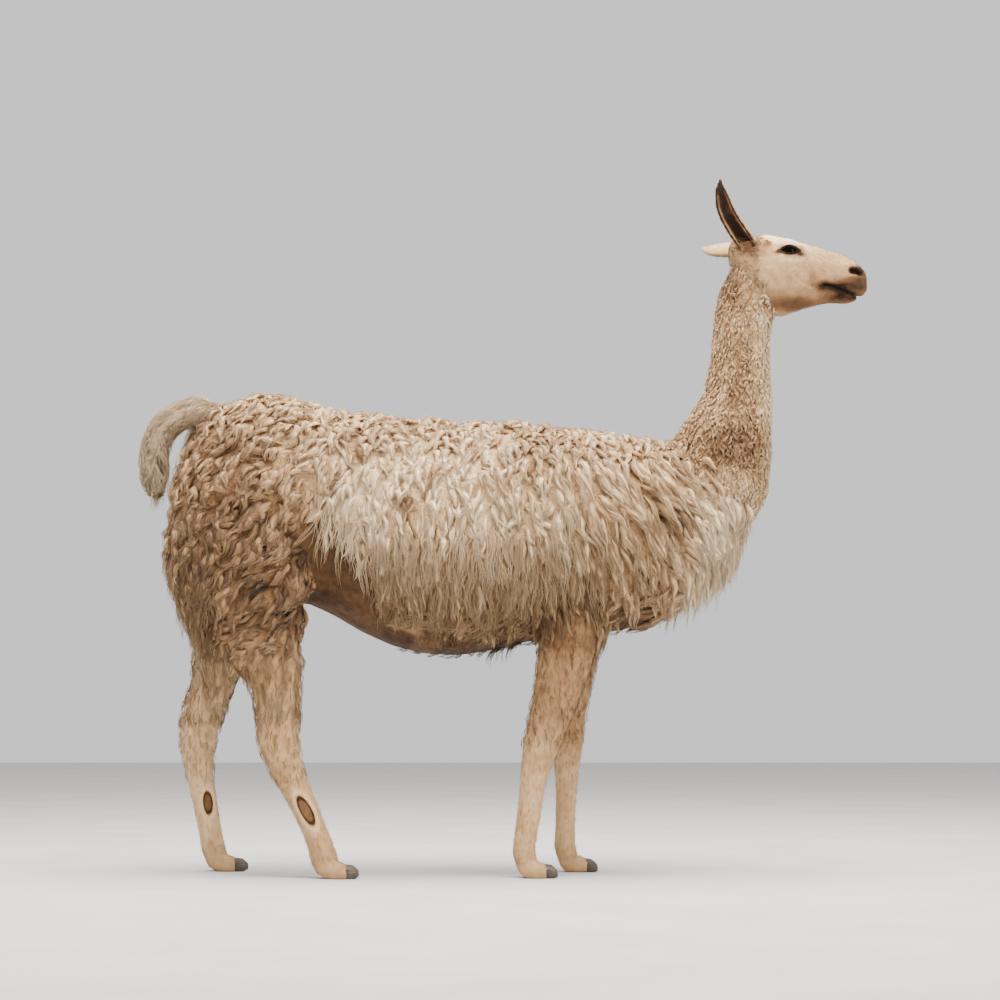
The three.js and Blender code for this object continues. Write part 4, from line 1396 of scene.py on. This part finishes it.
# %% Wool materials
def hair_material(name, streaky, deep, lighter_tip):
    """A finish for tubes of hair: streaky along them, darker at the root as dirt and painted shade,
    lighter at the tip.
    """
    made, tree, shader = material(name)
    vector = tree.nodes.new("ShaderNodeCombineXYZ")
    tree.links.new(maths(tree, "MULTIPLY", read(tree, "across"), 2.6), vector.inputs[0])
    tree.links.new(maths(tree, "MULTIPLY", read(tree, "along"), 1.6), vector.inputs[1])
    tree.links.new(maths(tree, "MULTIPLY", read(tree, "shade"), 90.0), vector.inputs[2])
    streak = use_group(tree, streaks, Vector=vector.outputs[0], Fineness=1.3)
    along = read(tree, "along")
    tone = maths(tree, "MULTIPLY_ADD", along, -lighter_tip, read(tree, "tone"))
    tone = maths(tree, "MULTIPLY_ADD", maths(tree, "SUBTRACT", 0.5, streak), streaky, tone)
    # Darker towards the root: dirt caught low in the wool, and painted shade deep among the locks.
    base = maths(tree, "MULTIPLY", maths(tree, "SUBTRACT", 0.30, along, clamp=True), deep)
    colour = use_group(tree, wool_colour, Tone=maths(tree, "ADD", tone, base),
                       Root=read(tree, "root", "Vector"), Shade=read(tree, "shade"))
    tree.links.new(colour, shader["Base Color"])
    shader["Roughness"].default_value = 0.88
    shader["Sheen Weight"].default_value = 0.08
    shader["Specular IOR Level"].default_value = 0.25
    bump(tree, streak, 1.0, 0.005, shader)
    return made


lock_wool = hair_material("wool locks", streaky=0.70, deep=0.35, lighter_tip=0.08)
short_wool = hair_material("short hair", streaky=0.30, deep=0.0, lighter_tip=0.04)

hide_wool, tree, shader = material("hide")
lie = read(tree, "lie", "Vector")
place = read(tree, "root", "Vector")
along = vector_maths(tree, "DOT_PRODUCT", place, lie)
squeeze = vector_maths(tree, "SCALE", lie, maths(tree, "MULTIPLY", along, -0.86))
space = vector_maths(tree, "ADD", place, squeeze)
streak = use_group(tree, streaks, Vector=space, Fineness=420.0)
twist = noise(tree, place, 62.0, 3.0, distortion=1.6)
curls = maths(tree, "MULTIPLY", twist, read(tree, "woolly"))
# Where the wool is thick the hide is darker: dirt at the roots, and painted shade of the locks over it.
hide_tone = maths(tree, "MULTIPLY_ADD", read(tree, "woolly"), 0.33, read(tree, "tone"))
hide_tone = maths(tree, "MULTIPLY_ADD", curls, -0.55, hide_tone)
hide_tone = maths(tree, "MULTIPLY_ADD", maths(tree, "SUBTRACT", 0.5, streak), 0.36, hide_tone)
colour = use_group(tree, wool_colour, Tone=hide_tone, Root=place, Shade=0.5)
tree.links.new(colour, shader["Base Color"])
shader["Roughness"].default_value = 0.95
shader["Sheen Weight"].default_value = 0.04
shader["Specular IOR Level"].default_value = 0.12
height = maths(tree, "MULTIPLY_ADD", streak, 0.0016, maths(tree, "MULTIPLY", curls, 0.011))
bump(tree, height, 1.0, 1.0, shader)
report("wool finishes made")

# %% [markdown]
# ## Horn and eye
# Horn is grey-brown and worn, with faint level growth lines. The eye is glassy, with its level
# pupil drawn from the direction that each point of the ball looks in.

# %% Horn and eye
horn, tree, shader = material("horn")
place = tree.nodes.new("ShaderNodeTexCoord").outputs["Object"]
stretch = tree.nodes.new("ShaderNodeMapping")
stretch.inputs["Scale"].default_value = (0.4, 0.4, 3.0)
tree.links.new(place, stretch.inputs["Vector"])
lines = noise(tree, stretch.outputs[0], 130, 3, 0.6)
worn = noise(tree, place, 60, 3, 0.5)
mix = maths(tree, "ADD", maths(tree, "MULTIPLY", lines, 0.5), maths(tree, "MULTIPLY", worn, 0.5))
tree.links.new(ramp(tree, mix, ((0.3, (0.030, 0.021, 0.015)), (0.55, (0.085, 0.060, 0.040)),
                                (0.75, (0.20, 0.155, 0.11)))), shader["Base Color"])
shader["Roughness"].default_value = 0.55
bump(tree, lines, 0.4, 0.0008, shader)

eye, tree, shader = material("eye")
parts = tree.nodes.new("ShaderNodeSeparateXYZ")
tree.links.new(read(tree, "look", "Vector"), parts.inputs[0])
wide = maths(tree, "POWER", maths(tree, "DIVIDE", parts.outputs["X"], 0.36), 2.0)
tall = maths(tree, "POWER", maths(tree, "DIVIDE", parts.outputs["Z"], 0.17), 2.0)
pupil = maths(tree, "ADD", wide, tall)
reach = maths(tree, "SQRT", maths(tree, "ADD", maths(tree, "POWER", parts.outputs["X"], 2.0),
                                  maths(tree, "POWER", parts.outputs["Z"], 2.0)))
spokes = noise(tree, read(tree, "look", "Vector"), 14, 4, 0.6)
iris = maths(tree, "MULTIPLY_ADD", spokes, 0.12, maths(tree, "MULTIPLY", reach, 0.9))
iris_colour = ramp(tree, iris, ((0.25, (0.010, 0.004, 0.002)), (0.55, (0.005, 0.002, 0.001)),
                                (0.80, (0.002, 0.001, 0.001)), (0.98, (0.005, 0.003, 0.002))))
blend = tree.nodes.new("ShaderNodeMix")
blend.data_type = "RGBA"
tree.links.new(maths(tree, "SUBTRACT", 1.5, pupil, clamp=True), blend.inputs["Factor"])
tree.links.new(iris_colour, blend.inputs[6])
blend.inputs[7].default_value = (0.001, 0.001, 0.001, 1)
tree.links.new(blend.outputs[2], shader["Base Color"])
shader["Roughness"].default_value = 0.06
shader["Specular IOR Level"].default_value = 0.06
report("horn and eye finishes made")

# %% [markdown]
# ## Dress the pieces
# Each piece gets its finish, chosen by its slot, and rides on the one body of the model.

# %% Dress
hide.data.materials.append(hide_wool)
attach(hide, "root")
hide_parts(*FLESH)
for name, (piece, slot) in pieces.items():
    piece.data.materials.append(lock_wool if slot == "wool" else short_wool)
    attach(piece, "root")
for node, piece in eyes.items():
    piece.data.materials.append(eye)
    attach(piece, "root")
    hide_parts(node)
for node, piece in nails.items():
    piece.data.materials.append(horn)
    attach(piece, "root")
    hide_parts(node)
report(1 + len(pieces) + len(eyes) + len(nails), "pieces dressed")

# %% [markdown]
# ## Floor, light and camera
# A pale floor and a big soft light from above and behind, as under a cloudy sky, with a weak
# fill from the front. The camera is level with the belly, and tilted up a little.

# %% Stage
floor_mesh = mesh_from("floor", np.array([[-12, -8, 0], [12, -8, 0], [12, 14, 0], [-12, 14, 0]]),
                       np.array([[0, 1, 2], [0, 2, 3]]), smooth=False)
floor = piece_from("floor", floor_mesh)
paper, tree, shader = material("floor")
place = tree.nodes.new("ShaderNodeTexCoord").outputs["Object"]
grain = noise(tree, place, 3, 4, 0.55)
tree.links.new(ramp(tree, grain, ((0.3, (0.56, 0.55, 0.53)), (0.7, (0.64, 0.63, 0.61)))),
               shader["Base Color"])
shader["Roughness"].default_value = 0.9
floor_mesh.materials.append(paper)


def soft_light(name, place, target, size, power, colour):
    lamp = bpy.data.lights.new(name, "AREA")
    lamp.shape, lamp.size, lamp.energy, lamp.color = "SQUARE", size, power, colour
    light = piece_from(name, lamp)
    light.location = place
    light.rotation_euler = (Vector(target) - Vector(place)).to_track_quat("-Z", "Y").to_euler()


soft_light("sky light", (0.0, -0.7, 4.6), (0, 0, 0.9), 4.0, 820, (1.0, 0.975, 0.94))
soft_light("fill light", (4.2, -3.4, 2.4), (0.3, 0, 0.9), 2.5, 110, (1.0, 0.97, 0.93))
floor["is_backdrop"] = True
world = bpy.data.worlds.new("pale sky")
bpy.context.scene.world = world
world.use_nodes = True
backdrop = world.node_tree.nodes["Background"].inputs
backdrop["Color"].default_value = (0.93, 0.93, 0.93, 1)
backdrop["Strength"].default_value = 1.0

CAMERA_AWAY = 6.0
CAMERA_UP = 0.40
CAMERA_TILT = 5.2  # degrees above level
lens = bpy.data.cameras.new("camera")
lens.lens = 85
lens.sensor_width = 36
camera = piece_from("camera", lens)
camera.location = (SHIFT, -CAMERA_AWAY, CAMERA_UP)
camera.rotation_euler = (math.radians(90 + CAMERA_TILT), 0, 0)
bpy.context.scene.camera = camera
report("stage set")

# %% [markdown]
# ## Measure and finish
# Both boxes are printed: the solids' and the finished model's.

# %% Measure and finish
shown = [[float(c) for c in corner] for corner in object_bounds()]
report("boxes", CAD_BOX, shown)
